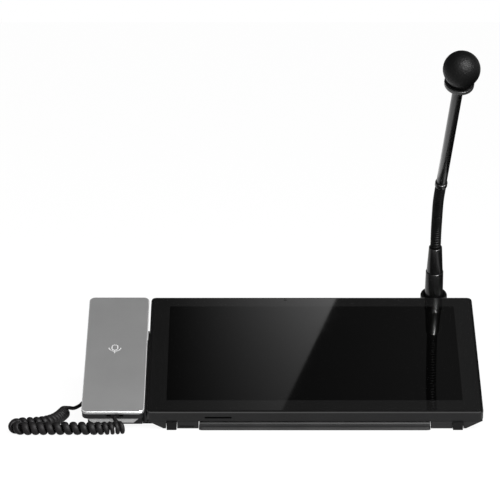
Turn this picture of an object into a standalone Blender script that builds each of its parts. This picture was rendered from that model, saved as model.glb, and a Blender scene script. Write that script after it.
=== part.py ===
"""Desk paging station: a tilted glass touch console on a wedge pedestal, a flat handset
in a cradle at its left, a curly cord and a gooseneck microphone behind the glass."""
import math

import bmesh
import bpy
from mathutils import Matrix, Vector

MM = 0.001

# Shared clearances and counts
GAP = 0.3 * MM
OVERRUN = 1.0 * MM
MERGE = 0.01 * MM
ROUND_SIDES = 24
SMALL_SIDES = 16
TINY_SIDES = 8
ALONG_AXIS = 0.9
CORNER_STEPS = 3
SMOOTH_ANGLE = math.radians(35)

# Tilted glass console, measured in the plane of the glass
TILT = math.radians(25.2)
GLASS_FRONT_HEIGHT = 19.3 * MM
FRAME_THICKNESS = 11.3 * MM
FRAME_CORNER = 5 * MM
FRAME_EDGE = 1.6 * MM
FRAME_RIM = 2.4 * MM
FRAME_LEDGE = 8.5 * MM
GLASS_THICKNESS = 1.4 * MM
GLASS_CORNER = 3 * MM
FRONT_SLOT_WIDTH = 26.6 * MM
FRONT_SLOT_HEIGHT = 2.1 * MM
FRONT_SLOT_DEPTH = 6 * MM
FRONT_SLOT_SIDE_SET = 71 * MM
FRONT_SLOT_DROP = 7.3 * MM
DISPLAY_ACTIVE_LENGTH = 165.2 * MM
DISPLAY_ACTIVE_WIDTH = 293.8 * MM
DISPLAY_ACTIVE_START = 19.3 * MM
DISPLAY_REAR_MARGIN = 17.1 * MM
DISPLAY_SIDE_MARGIN = 19.6 * MM
DISPLAY_BORDER = 6 * MM
DISPLAY_THICKNESS = 3.5 * MM
SENSOR_X = -27.3 * MM
SENSOR_BACK_SET = 5.8 * MM
SENSOR_RADIUS = 1.0 * MM
SENSOR_RECESS = 0.2 * MM

# Housing under the frame
COVER_DEPTH = 7.4 * MM
COVER_INSET = 0.6 * MM
COVER_SIDE_CHAMFER = 16.3 * MM
COVER_FRONT_LEAN = 2.4 * MM
COVER_REAR_CHAMFER = 5.7 * MM
COVER_WALL = 1.8 * MM
FACET_SLOT_WIDTH = 14.5 * MM
FACET_SLOT_HEIGHT = 1.3 * MM
FACET_SLOT_SIDE_SET = 40 * MM
FACET_SLOT_Z = 3.6 * MM
FOOT_SIDE_SET = 25 * MM
FOOT_WIDTH = 10.4 * MM
FOOT_HEIGHT = 7.85 * MM
FOOT_FRONT_SET = 3.8 * MM
FOOT_LENGTH = 18 * MM
FOOT_TAPER_SHARE = 0.92
BOARD_WIDTH = 180 * MM
BOARD_LENGTH = 96 * MM
BOARD_THICKNESS = 1.6 * MM
BOARD_REAR_SET = 41.6 * MM
BOARD_POST_RADIUS = 3 * MM
BOARD_POST_INSET = 6 * MM
BOARD_LIFT = 1.5 * MM

# Wedge pedestal and its base plate, measured back from the front edge of the glass
BASE_BRACKET_GAP = 4.44 * MM
BASE_FRONT_SET = 3.3 * MM
BASE_WIDTH = 229 * MM
BASE_THICKNESS = 3 * MM
BASE_CORNER = 4 * MM
PEDESTAL_SIDE_SET = 0.5 * MM
PEDESTAL_FRONT_SET = 4.3 * MM
PEDESTAL_NOSE_HEIGHT = 8.3 * MM
PEDESTAL_NOSE_ROUND = 2.2 * MM
PEDESTAL_WALL = 2.4 * MM
PEDESTAL_CAVITY_SET = 30 * MM
PEDESTAL_BOSS_RADIUS = 4 * MM
PEDESTAL_BOSS_HEIGHT = 9 * MM
BASE_SCREW_INSET_X = 7 * MM
BASE_SCREW_FRONT_SET = 13 * MM
BASE_SCREW_REAR_SET = 6 * MM
SCREW_HEAD_RADIUS = 3.0 * MM
SCREW_HEAD_HEIGHT = 1.6 * MM
SCREW_SHANK_RADIUS = 1.5 * MM
SCREW_SHANK_LENGTH = 6 * MM
SCREW_SINK = 0.3 * MM
PORT_PANEL_WIDTH = 84 * MM
PORT_PANEL_HEIGHT = 26 * MM
PORT_PANEL_THICKNESS = 1.8 * MM
PORT_PANEL_HEIGHT_ABOVE_DESK = 9 * MM
SOCKET_WIDTH = 16 * MM
SOCKET_HEIGHT = 14 * MM
SOCKET_DEPTH = 17 * MM
SOCKET_MOUTH_WIDTH = 12 * MM
SOCKET_MOUTH_HEIGHT = 9 * MM
SOCKET_MOUTH_DEPTH = 13 * MM
SOCKET_SPACING = 34 * MM
SPEAKER_MAGNET_RADIUS = 11 * MM
SPEAKER_RIM_THICKNESS = 3 * MM
SPEAKER_DEPTH = 14 * MM
SPEAKER_REAR_SET = 32 * MM
SPEAKER_CLEARANCE = 2.6 * MM
SPEAKER_SLOT_COUNT = 7
SPEAKER_SLOT_WIDTH = 2 * MM
SPEAKER_SLOT_LENGTH = 26 * MM
SPEAKER_SLOT_STEP = 4.4 * MM

# Microphone bracket, collar and sleeves, along the normal of the glass
MIC_SIDE_SET = 38.6 * MM
MIC_BACK_SET = 14 * MM
BRACKET_RADIUS = 14 * MM
BRACKET_THICKNESS = 8 * MM
BRACKET_LENGTH = 54 * MM
BRACKET_SCREW_FRONT_SET = 10 * MM
BRACKET_SCREW_STEP = 17 * MM
BRACKET_SCREW_COUNT = 2
BRACKET_SCREW_LENGTH = 10.8 * MM
MIC_SOCKET_RADIUS = 8 * MM
COLLAR_RADIUS = 13.9 * MM
COLLAR_TOP_DROP = 4.8 * MM
COLLAR_CLEARANCE = 0.4 * MM
COLLAR_GROOVE = 1.6 * MM
COLLAR_ROUND = 1.8 * MM
SLEEVE_FOOT_RADIUS = 9.7 * MM
SLEEVE_TOP_RADIUS = 9.1 * MM
SLEEVE_TOP = 23.6 * MM
SLEEVE_EDGE = 0.6 * MM
SLEEVE_BORE = 3.2 * MM
TAPER_FOOT_RADIUS = 8.45 * MM
TAPER_TOP_RADIUS = 6.8 * MM
TAPER_TOP = 53.4 * MM
TAPER_EDGE = 0.8 * MM

# Ribbed hose in two halves, and the rigid tube above it
HOSE_RADIUS = 5.6 * MM
HOSE_GROOVE_RADIUS = 4.75 * MM
HOSE_BORE_RADIUS = 2.9 * MM
HOSE_HALF_LENGTH = 44.4 * MM
HOSE_RIB_COUNT = 15
HOSE_STRAIGHT = 10.3 * MM
HOSE_BORE_SPLITS = 8
NOD_BEND = math.radians(16.8)
SWAY_BEND = math.radians(4.05)
RING_RADIUS = 6.3 * MM
RING_LENGTH = 5.6 * MM
RING_EDGE = 1 * MM
TUBE_RADIUS = 5.3 * MM
TUBE_BORE_RADIUS = 3.6 * MM
TUBE_LENGTH = 135 * MM
NECK_FOOT_RADIUS = 5.6 * MM
NECK_TOP_RADIUS = 7.6 * MM
NECK_LENGTH = 9 * MM
CUP_RADIUS = 14.8 * MM
CUP_LENGTH = 4.2 * MM
CUP_EDGE = 0.8 * MM
CUP_FLOOR = 1.6 * MM
CUP_WALL = 3.2 * MM
FOAM_RADIUS = 18.3 * MM
FOAM_CENTRE = 17.4 * MM
FOAM_NECK_RADIUS = 11.3 * MM
FOAM_ARC_STEPS = 14
FOAM_BORE_DEPTH = 19 * MM
CAPSULE_RADIUS = 7.2 * MM
CAPSULE_LENGTH = 19 * MM
CAPSULE_EDGE = 1 * MM

# Handset, face level with the glass
HANDSET_FRAME_GAP = 1.95 * MM
HANDSET_WIDTH = 62.1 * MM
HANDSET_CORNER = 6 * MM
HANDSET_FACE_THICKNESS = 3.0 * MM
HANDSET_FACE_EDGE = 0.6 * MM
BAND_INSET = 0.5 * MM
BAND_THICKNESS = 5.6 * MM
BAND_WALL = 9 * MM
SHELL_SIDE_SET = 5.65 * MM
SHELL_CHAMFER = 5 * MM
SHELL_THICKNESS = 4.8 * MM
SHELL_WALL = 1.6 * MM
SHELL_END_INSET = 1 * MM
RECESS_WIDTH = 16.6 * MM
RECESS_HEIGHT = 2.8 * MM
RECESS_DROP = 0.6 * MM
RECESS_DEPTH = 6.5 * MM
RECESS_X = 2.1 * MM
CAP_RADIUS = 18 * MM
CAP_THICKNESS = 3.6 * MM
CAP_EDGE = 0.8 * MM
CAP_CLEARANCE = 0.6 * MM
CAP_PORT_RADIUS = 1.1 * MM
CAP_PORT_RING = 7 * MM
CAP_PORT_COUNT = 6
CAP_PORT_DEPTH = 1.5 * MM
EAR_BACK_SET = 30 * MM
MOUTH_FRONT_SET = 30 * MM
RECEIVER_RADIUS = 15 * MM
RECEIVER_THICKNESS = 4 * MM
MOUTH_MIC_RADIUS = 4.8 * MM
MOUTH_MIC_THICKNESS = 2.6 * MM

# Cradle under the handset
CRADLE_LEFT_OVERHANG = 4.8 * MM
CRADLE_RIGHT_SET = 2.9 * MM
CRADLE_FRONT_SET = 36 * MM
CRADLE_TOP_START = 22 * MM
CRADLE_TOP_REAR_SET = 8.6 * MM
CRADLE_REAR_LEAN = 8.7 * MM
CRADLE_TOP_WALL = 5.5 * MM
CRADLE_WALL = 2.6 * MM
CRADLE_FRONT_WALL = 4.5 * MM
CRADLE_CAVITY_LEAD = 10 * MM
FLOOR_THICKNESS = 2 * MM
FLOOR_SINK = 0.8 * MM
PLUNGER_SET = 98 * MM
PLUNGER_RADIUS = 3 * MM
PLUNGER_TRAVEL = 3 * MM
PLUNGER_FLANGE_RADIUS = 5 * MM
PLUNGER_FLANGE_THICKNESS = 1.5 * MM
PLUNGER_STEM_RADIUS = 1.6 * MM
PLUNGER_STEM_LENGTH = 3 * MM
SPRING_RADIUS = 3.4 * MM
SPRING_WIRE_RADIUS = 0.4 * MM
SPRING_LENGTH = 7.5 * MM
SPRING_TURNS = 4
SPRING_POINTS_PER_TURN = 10
SWITCH_WIDTH = 12.8 * MM
SWITCH_LENGTH = 12 * MM
SWITCH_THICKNESS = 6.5 * MM
SWITCH_BOARD_LENGTH = 24 * MM
LINK_FIN_START = 3 * MM
LINK_START = 30 * MM
LINK_REAR_SET = 57.6 * MM
LINK_FIN_DROP = 3 * MM
LINK_DEPTH = 26.2 * MM
LINK_CONSOLE_REACH = 31.5 * MM
LINK_FOOT_REACH = 5.7 * MM
LINK_FOOT_FRONT_SET = 38 * MM
LINK_FOOT_REAR_LEAD = 14 * MM

# Curly cord between the handset and the cradle
CORD_RADIUS = 1.9 * MM
CORD_WIDTH = 6.4 * MM
CORD_SIDE_GAP = 0.9 * MM
CORD_GAP_SPLITS = 3
COIL_RADIUS = 4.7 * MM
COIL_DESK_CLEARANCE = 0.05 * MM
COIL_PITCH = 6.6 * MM
COIL_PITCH_SHARES = [(0, 0.74), (0.06, 0.78), (0.1, 0.98), (0.15, 1.2), (0.2, 1.28), (0.36, 1.28),
                     (0.41, 1.1), (0.46, 1.2), (0.6, 1.2), (0.7, 0.94), (0.92, 0.98), (1, 1.3)]
COIL_POINTS_PER_CURL = 9
COIL_AXIS_SPLITS = 20
COIL_TABLE_SPLITS = 50
ROUTE_SPLITS = 12
LEAD_SPLITS = 8
COIL_START_TURN = -0.25
COIL_END_TURN = 0.25
CORD_SOCKET_SET = 106 * MM
CORD_SOCKET_HEIGHT = 10 * MM
CORD_SOCKET_WIDTH = 11 * MM
CORD_SOCKET_TALL = 9 * MM
CORD_SOCKET_DEPTH = 13 * MM
CORD_PLUG_WIDTH = 6.8 * MM
CORD_PLUG_TALL = 5.8 * MM
CORD_PLUG_DEPTH = 9 * MM
CORD_PLUG_LIP = 1.4 * MM
HANDSET_PLUG_WIDTH = 8 * MM
HANDSET_PLUG_TALL = 4 * MM
HANDSET_PLUG_DEPTH = 6 * MM

# Heights along the normal of the glass, counted from its top surface
GLASS_BOTTOM = -GLASS_THICKNESS
LEDGE_TOP = GLASS_BOTTOM - GAP
FRAME_BOTTOM = -FRAME_THICKNESS
COVER_TOP = FRAME_BOTTOM - GAP
COVER_BOTTOM = COVER_TOP - COVER_DEPTH
BRACKET_TOP = COVER_BOTTOM - GAP
BRACKET_BOTTOM = BRACKET_TOP - BRACKET_THICKNESS
BAND_TOP = -HANDSET_FACE_THICKNESS - GAP
BAND_BOTTOM = BAND_TOP - BAND_THICKNESS
SHELL_TOP = BAND_BOTTOM - GAP
SHELL_BOTTOM = SHELL_TOP - SHELL_THICKNESS
CRADLE_TOP = SHELL_BOTTOM - GAP
CRADLE_UNDERSIDE = CRADLE_TOP - CRADLE_TOP_WALL

# Lengths along the glass, counted from its front edge
FRAME_LENGTH = DISPLAY_ACTIVE_START + DISPLAY_ACTIVE_LENGTH + DISPLAY_REAR_MARGIN
BOARD_START = FRAME_LENGTH - BOARD_REAR_SET - BOARD_LENGTH
BRACKET_START = FRAME_LENGTH + MIC_BACK_SET - BRACKET_LENGTH
CRADLE_TOP_END = FRAME_LENGTH - CRADLE_TOP_REAR_SET
LINK_END = FRAME_LENGTH - LINK_REAR_SET

# Places across the desk
FRAME_WIDTH = DISPLAY_ACTIVE_WIDTH + 2 * DISPLAY_SIDE_MARGIN
HALF_FRAME = FRAME_WIDTH / 2
FRONT_SLOT_X = FRONT_SLOT_SIDE_SET - HALF_FRAME
FACET_SLOT_X = FACET_SLOT_SIDE_SET - HALF_FRAME
FOOT_X = HALF_FRAME - FOOT_SIDE_SET
MIC_X = HALF_FRAME - MIC_SIDE_SET
PEDESTAL_WIDTH = BASE_WIDTH - 2 * PEDESTAL_SIDE_SET
SHELL_TOP_WIDTH = HANDSET_WIDTH - 2 * SHELL_SIDE_SET
HANDSET_X = -(HALF_FRAME + HANDSET_FRAME_GAP + HANDSET_WIDTH / 2)
HANDSET_LEFT = HANDSET_X - HANDSET_WIDTH / 2
HANDSET_RIGHT = HANDSET_X + HANDSET_WIDTH / 2
CRADLE_LEFT = HANDSET_LEFT + CRADLE_LEFT_OVERHANG
CRADLE_RIGHT = HANDSET_RIGHT - CRADLE_RIGHT_SET
COIL_AXIS_HEIGHT = COIL_RADIUS + CORD_RADIUS + COIL_DESK_CLEARANCE

# Places back from the glass front edge; the base ends ahead of the microphone's bracket
BRACKET_SET = BRACKET_START * math.cos(TILT) - BRACKET_TOP * math.sin(TILT)
BASE_DEPTH = BRACKET_SET - BASE_BRACKET_GAP - BASE_FRONT_SET
GLASS_FRONT_Y = -(BASE_DEPTH / 2 + BASE_FRONT_SET)
SPEAKER_SET_BACK = BASE_FRONT_SET + BASE_DEPTH - SPEAKER_REAR_SET

# Cord route, chosen by hand: x from the console's middle, y back from the glass front edge
COIL_ROUTE = [
    (-189.4 * MM, -15.0 * MM), (-196.0 * MM, -17.4 * MM), (-205.0 * MM, -19.2 * MM),
    (-222.0 * MM, -19.8 * MM), (-240.0 * MM, -19.8 * MM), (-258.0 * MM, -19.9 * MM),
    (-272.0 * MM, -20.2 * MM), (-282.0 * MM, -20.5 * MM), (-289.6 * MM, -18.8 * MM),
    (-294.4 * MM, -13.4 * MM), (-295.6 * MM, -7.0 * MM), (-292.8 * MM, -0.6 * MM),
    (-286.6 * MM, 3.0 * MM), (-279.0 * MM, 4.4 * MM), (-271.0 * MM, 7.4 * MM),
    (-263.6 * MM, 14.0 * MM), (-258.2 * MM, 24.6 * MM), (-254.6 * MM, 38.0 * MM),
    (-252.2 * MM, 52.0 * MM), (-250.6 * MM, 63.0 * MM),
]
LEAD_ROUTE = [
    (-193.4 * MM, -4.8 * MM, 8.2 * MM), (-190.9 * MM, -7.8 * MM, 4.6 * MM),
    (-190.0 * MM, -11.0 * MM, 2.5 * MM),
]
TAIL_ROUTE = [
    (-245.8 * MM, 63.6 * MM, 11.0 * MM), (-242.4 * MM, 68.4 * MM, 9.6 * MM),
    (-240.2 * MM, 75.4 * MM, 8.9 * MM), (-238.0 * MM, 83.4 * MM, 8.6 * MM),
    (-236.0 * MM, 91.0 * MM, 8.7 * MM), (-234.6 * MM, 98.0 * MM, 9.2 * MM),
    (-232.8 * MM, 102.8 * MM, 9.8 * MM),
]

parts = None
cutters = None


# Scene, materials and small helpers

def clear_scene():
    """Empty the file and make the two collections."""
    global parts, cutters
    for obj in list(bpy.data.objects):
        bpy.data.objects.remove(obj, do_unlink=True)
    parts = bpy.data.collections.new("paging_station")
    cutters = bpy.data.collections.new("cutters")
    bpy.context.scene.collection.children.link(parts)
    bpy.context.scene.collection.children.link(cutters)


def make_material(name, colour, roughness, metallic=0.0):
    """One Principled material with a plain colour."""
    mat = bpy.data.materials.new(name)
    mat.use_nodes = True
    shader = mat.node_tree.nodes["Principled BSDF"]
    shader.inputs["Base Color"].default_value = (*colour, 1.0)
    shader.inputs["Roughness"].default_value = roughness
    shader.inputs["Metallic"].default_value = metallic
    mat.diffuse_color = (*colour, 1.0)
    return mat


def make_empty(name, parent=None, location=(0, 0, 0), rotation=(0, 0, 0)):
    """A frame that pieces are placed in, or a joint's axis."""
    empty = bpy.data.objects.new(name, None)
    empty.location = location
    empty.rotation_euler = rotation
    empty.parent = parent
    parts.objects.link(empty)
    return empty


def add_piece(name, mesh, mat, parent=None):
    """Link a finished mesh as a named piece."""
    obj = bpy.data.objects.new(name, mesh)
    obj.parent = parent
    mesh.materials.append(mat)
    mesh.shade_smooth()
    mesh.set_sharp_from_angle(angle=SMOOTH_ANGLE)
    parts.objects.link(obj)
    return obj


def add_cutter(name, mesh, parent=None):
    """Link a mesh that only cuts or joins other pieces."""
    obj = bpy.data.objects.new(name, mesh)
    obj.parent = parent
    obj.hide_render = True
    obj.display_type = "WIRE"
    cutters.objects.link(obj)
    return obj


def combine(obj, tool, operation="DIFFERENCE"):
    """Cut a piece by a tool, or join the tool to it."""
    mod = obj.modifiers.new(tool.name, "BOOLEAN")
    mod.object = tool
    mod.operation = operation
    mod.solver = "EXACT"


def finish_bmesh(name, bm):
    """Turn a closed bmesh into a mesh with its faces pointing out."""
    bmesh.ops.recalc_face_normals(bm, faces=bm.faces)
    mesh = bpy.data.meshes.new(name)
    bm.to_mesh(mesh)
    bm.free()
    return mesh


def bevel_edges(bm, edges, width, steps):
    """Round or chamfer some edges."""
    bmesh.ops.bevel(bm, geom=edges, offset=width, segments=steps, profile=0.5,
                    affect="EDGES", clamp_overlap=True, material=-1)


def edges_along(bm, axis):
    """The edges of a box that run along one of its axes."""
    found = []
    for edge in bm.edges:
        run = (edge.verts[0].co - edge.verts[1].co).normalized()
        if abs(run[axis]) > ALONG_AXIS:
            found.append(edge)
    return found


def box_bmesh(low, high):
    """A box between two corners."""
    size = Vector(high) - Vector(low)
    middle = (Vector(high) + Vector(low)) / 2
    bm = bmesh.new()
    bmesh.ops.create_cube(bm, size=1.0)
    bmesh.ops.scale(bm, vec=size, verts=bm.verts)
    bmesh.ops.translate(bm, vec=middle, verts=bm.verts)
    return bm


def box_mesh(name, low, high, corner=0.0, axis=2, steps=CORNER_STEPS):
    """A box whose edges along one axis are rounded."""
    bm = box_bmesh(low, high)
    if corner > 0:
        bevel_edges(bm, edges_along(bm, axis), corner, steps)
    return finish_bmesh(name, bm)


def top_edges(bm, level):
    """The edges that lie at the given height."""
    return [e for e in bm.edges if all(abs(v.co.z - level) < MERGE for v in e.verts)]


def rimmed_plate(name, low, high, corner, edge):
    """A rounded plate with its upper rim bevelled too."""
    bm = box_bmesh(low, high)
    bevel_edges(bm, edges_along(bm, 2), corner, CORNER_STEPS)
    bevel_edges(bm, top_edges(bm, high[2]), edge, 2)
    return finish_bmesh(name, bm)


def turned_piece(name, profile, mat, parent, sides=ROUND_SIDES, collection=None):
    """A solid of revolution about local Z: the profile runs down its outer side."""
    mesh = bpy.data.meshes.new(name)
    points = [(radius, 0, height) for radius, height in profile]
    closed = profile[0][0] > 0 and profile[-1][0] > 0
    links = [(i, i + 1) for i in range(len(points) - 1)]
    if closed:
        links.append((len(points) - 1, 0))
    mesh.from_pydata(points, links, [])
    if collection is cutters:
        obj = add_cutter(name, mesh, parent)
    else:
        obj = add_piece(name, mesh, mat, parent)
    screw = obj.modifiers.new("turn", "SCREW")
    screw.axis = "Z"
    screw.steps = sides
    screw.render_steps = sides
    screw.use_merge_vertices = True
    screw.merge_threshold = MERGE
    screw.use_smooth_shade = True
    return obj


def cylinder_cutter(name, radius, low, high, parent, x=0.0, y=0.0, sides=SMALL_SIDES):
    """A round drill along local Z of the parent frame."""
    bm = bmesh.new()
    bmesh.ops.create_cone(bm, cap_ends=True, cap_tris=False, segments=sides,
                          radius1=radius, radius2=radius, depth=high - low)
    bmesh.ops.translate(bm, vec=(x, y, (high + low) / 2), verts=bm.verts)
    return add_cutter(name, finish_bmesh(name, bm), parent)


def outline_mesh(name, points, low, high, frame=Matrix.Identity(4)):
    """A flat outline drawn as a 2D curve and given a thickness from low to high."""
    curve = bpy.data.curves.new(name, "CURVE")
    curve.dimensions = "2D"
    curve.fill_mode = "BOTH"
    curve.extrude = (high - low) / 2
    spline = curve.splines.new("POLY")
    spline.points.add(len(points) - 1)
    for knot, (a, b) in zip(spline.points, points):
        knot.co = (a, b, 0, 1)
    spline.use_cyclic_u = True
    obj = bpy.data.objects.new(name, curve)
    bpy.context.scene.collection.objects.link(obj)
    mesh = mesh_of_curve(obj)
    lift = Matrix.Translation((0, 0, (high + low) / 2))
    mesh.transform(frame @ lift)
    return mesh


def mesh_of_curve(obj):
    """Make a curve a closed mesh, weld its caps and remove the curve."""
    graph = bpy.context.evaluated_depsgraph_get()
    mesh = bpy.data.meshes.new_from_object(obj.evaluated_get(graph))
    bm = bmesh.new()
    bm.from_mesh(mesh)
    bmesh.ops.remove_doubles(bm, verts=bm.verts, dist=MERGE)
    bmesh.ops.recalc_face_normals(bm, faces=bm.faces)
    bm.to_mesh(mesh)
    bm.free()
    mesh.materials.clear()
    bpy.data.objects.remove(obj, do_unlink=True)
    return mesh


def tube_curve(name, points, radius, resolution, shares=None):
    """A wire or hose as a POLY spline with filled caps; shares thin or thicken it."""
    curve = bpy.data.curves.new(name, "CURVE")
    curve.dimensions = "3D"
    curve.bevel_depth = radius
    curve.bevel_resolution = resolution
    curve.use_fill_caps = True
    spline = curve.splines.new("POLY")
    spline.points.add(len(points) - 1)
    for index, (knot, point) in enumerate(zip(spline.points, points)):
        knot.co = (*point, 1)
        knot.radius = shares[index] if shares else 1.0
    return curve


# Outlines drawn in the desk's Y and Z stand across the X axis
ACROSS_X = Matrix(((0, 0, 1, 0), (1, 0, 0, 0), (0, 1, 0, 0), (0, 0, 0, 1)))
# Outlines drawn in X and the normal are swept along the slope of the glass
ALONG_SLOPE = Matrix(((1, 0, 0, 0), (0, 0, 1, 0), (0, 1, 0, 0), (0, 0, 0, 1)))


def on_desk(along, normal):
    """Desk Y and Z of a point given along the slope and along the normal of the glass."""
    y = GLASS_FRONT_Y + along * math.cos(TILT) - normal * math.sin(TILT)
    z = GLASS_FRONT_HEIGHT + along * math.sin(TILT) + normal * math.cos(TILT)
    return y, z


def slope_at(y, normal):
    """Height above the desk, at desk Y, of the plane that lies at a normal height."""
    along = (y - GLASS_FRONT_Y + normal * math.sin(TILT)) / math.cos(TILT)
    return on_desk(along, normal)[1]


def slope_back(z, normal):
    """Desk Y at which the plane at a normal height reaches the height z."""
    along = (z - GLASS_FRONT_HEIGHT - normal * math.cos(TILT)) / math.sin(TILT)
    return on_desk(along, normal)[0]


# Glass, display and frame

def make_frame(tilt, mats):
    """Bezel frame: a ring with a rebate for the glass and a slot in its front face."""
    mesh = rimmed_plate("front_frame", (-HALF_FRAME, 0, FRAME_BOTTOM),
                        (HALF_FRAME, FRAME_LENGTH, 0), FRAME_CORNER, FRAME_EDGE)
    frame = add_piece("front_frame", mesh, mats["frame_black"], tilt)
    rebate = FRAME_RIM - GAP
    pocket = box_mesh("glass_pocket", (-HALF_FRAME + rebate, rebate, LEDGE_TOP),
                      (HALF_FRAME - rebate, FRAME_LENGTH - rebate, OVERRUN),
                      GLASS_CORNER + GAP)
    combine(frame, add_cutter("glass_pocket", pocket, tilt))
    window = box_mesh("frame_window",
                      (-HALF_FRAME + FRAME_LEDGE, FRAME_LEDGE, FRAME_BOTTOM - OVERRUN),
                      (HALF_FRAME - FRAME_LEDGE, FRAME_LENGTH - FRAME_LEDGE, OVERRUN))
    combine(frame, add_cutter("frame_window", window, tilt))
    slot = box_mesh("front_slot",
                    (FRONT_SLOT_X - FRONT_SLOT_WIDTH / 2, -OVERRUN,
                     -FRONT_SLOT_DROP - FRONT_SLOT_HEIGHT / 2),
                    (FRONT_SLOT_X + FRONT_SLOT_WIDTH / 2, FRONT_SLOT_DEPTH,
                     -FRONT_SLOT_DROP + FRONT_SLOT_HEIGHT / 2))
    combine(frame, add_cutter("front_slot", slot, tilt))


def make_glass(tilt, mats):
    """Cover glass with a small round window for the light sensor."""
    low = (-HALF_FRAME + FRAME_RIM, FRAME_RIM, GLASS_BOTTOM)
    high = (HALF_FRAME - FRAME_RIM, FRAME_LENGTH - FRAME_RIM, 0)
    glass = add_piece("cover_glass", box_mesh("cover_glass", low, high, GLASS_CORNER),
                      mats["black_glass"], tilt)
    sensor_y = FRAME_LENGTH - SENSOR_BACK_SET
    drill = cylinder_cutter("sensor_hole", SENSOR_RADIUS + GAP, GLASS_BOTTOM - OVERRUN,
                            OVERRUN, tilt, SENSOR_X, sensor_y)
    combine(glass, drill)
    place = make_empty("sensor_place", tilt, (SENSOR_X, sensor_y, 0))
    turned_piece("light_sensor", [(0, -SENSOR_RECESS), (SENSOR_RADIUS, -SENSOR_RECESS),
                                  (SENSOR_RADIUS, GLASS_BOTTOM), (0, GLASS_BOTTOM)],
                 mats["lens_black"], place, SMALL_SIDES)


def make_display(tilt, mats):
    """Display panel behind the glass."""
    half = DISPLAY_ACTIVE_WIDTH / 2 + DISPLAY_BORDER
    start = DISPLAY_ACTIVE_START - DISPLAY_BORDER
    end = DISPLAY_ACTIVE_START + DISPLAY_ACTIVE_LENGTH + DISPLAY_BORDER
    mesh = box_mesh("display_panel", (-half, start, LEDGE_TOP - DISPLAY_THICKNESS),
                    (half, end, LEDGE_TOP))
    add_piece("display_panel", mesh, mats["panel_grey"], tilt)


# Housing, board and feet

def tray_mesh(name, section, low, high):
    """A box whose half width, front and rear change with height, as section(z) gives them."""
    bm = box_bmesh((-OVERRUN, -OVERRUN, low), (OVERRUN, OVERRUN, high))
    for vert in bm.verts:
        half, front, rear = section(vert.co.z)
        vert.co.x = math.copysign(half, vert.co.x)
        vert.co.y = front if vert.co.y < 0 else rear
    return finish_bmesh(name, bm)


def slanted_wall(wall, run, rise):
    """Width, measured level, of a wall that leans run over rise."""
    return wall * math.hypot(run, rise) / rise


def cover_section(wall):
    """Plan of the housing at each height, drawn in by a wall's thickness."""
    def section(z):
        share = (COVER_TOP - z) / COVER_DEPTH
        side = slanted_wall(wall, COVER_SIDE_CHAMFER, COVER_DEPTH)
        front = slanted_wall(wall, COVER_FRONT_LEAN, COVER_DEPTH)
        rear = slanted_wall(wall, COVER_REAR_CHAMFER, COVER_DEPTH)
        return (HALF_FRAME - COVER_INSET - share * COVER_SIDE_CHAMFER - side,
                COVER_INSET - share * COVER_FRONT_LEAN + front,
                FRAME_LENGTH - COVER_INSET - share * COVER_REAR_CHAMFER - rear)
    return section


def make_cover(tilt, mats):
    """Rear cover: an open tray under the frame, notched for the feet and the pedestal."""
    mesh = tray_mesh("rear_cover", cover_section(0), COVER_BOTTOM, COVER_TOP)
    cover = add_piece("rear_cover", mesh, mats["housing_black"], tilt)
    hollow = tray_mesh("cover_hollow", cover_section(COVER_WALL), COVER_BOTTOM + COVER_WALL,
                       COVER_TOP + OVERRUN)
    combine(cover, add_cutter("cover_hollow", hollow, tilt))
    half = BASE_WIDTH / 2 + GAP
    nose_back = slope_back(PEDESTAL_NOSE_HEIGHT + GAP, COVER_BOTTOM)
    notch = box_mesh("nose_notch", (-half, GLASS_FRONT_Y - OVERRUN, -OVERRUN),
                     (half, nose_back + OVERRUN, PEDESTAL_NOSE_HEIGHT + GAP))
    combine(cover, add_cutter("nose_notch", notch))
    for side, x in (("left", -FOOT_X), ("right", FOOT_X)):
        low, high = foot_corners(x)
        grow = Vector((GAP, GAP, GAP))
        hole = box_mesh("foot_notch_" + side, Vector(low) - grow, Vector(high) + grow)
        combine(cover, add_cutter("foot_notch_" + side, hole))
    slot = box_mesh("facet_slot",
                    (FACET_SLOT_X - FACET_SLOT_WIDTH / 2, GLASS_FRONT_Y,
                     FACET_SLOT_Z - FACET_SLOT_HEIGHT / 2),
                    (FACET_SLOT_X + FACET_SLOT_WIDTH / 2,
                     GLASS_FRONT_Y + FRONT_SLOT_DEPTH + COVER_WALL,
                     FACET_SLOT_Z + FACET_SLOT_HEIGHT / 2))
    combine(cover, add_cutter("facet_slot", slot))
    return cover


def foot_corners(x):
    """Corners of a front foot, which reaches from the desk up to the housing's facet."""
    front = GLASS_FRONT_Y + FOOT_FRONT_SET
    return ((x - FOOT_WIDTH / 2, front, 0),
            (x + FOOT_WIDTH / 2, front + FOOT_LENGTH, FOOT_HEIGHT))


def make_feet(mats):
    """Two rubber feet under the front corners, drawn in at the desk."""
    for side, x in (("left", -FOOT_X), ("right", FOOT_X)):
        low, high = foot_corners(x)
        bm = box_bmesh(low, high)
        middle = (Vector(low) + Vector(high)) / 2
        for vert in bm.verts:
            if vert.co.z < middle.z:
                vert.co.x = middle.x + (vert.co.x - middle.x) * FOOT_TAPER_SHARE
                vert.co.y = middle.y + (vert.co.y - middle.y) * FOOT_TAPER_SHARE
        add_piece("front_foot_" + side, finish_bmesh("front_foot", bm), mats["foot_rubber"])


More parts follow.
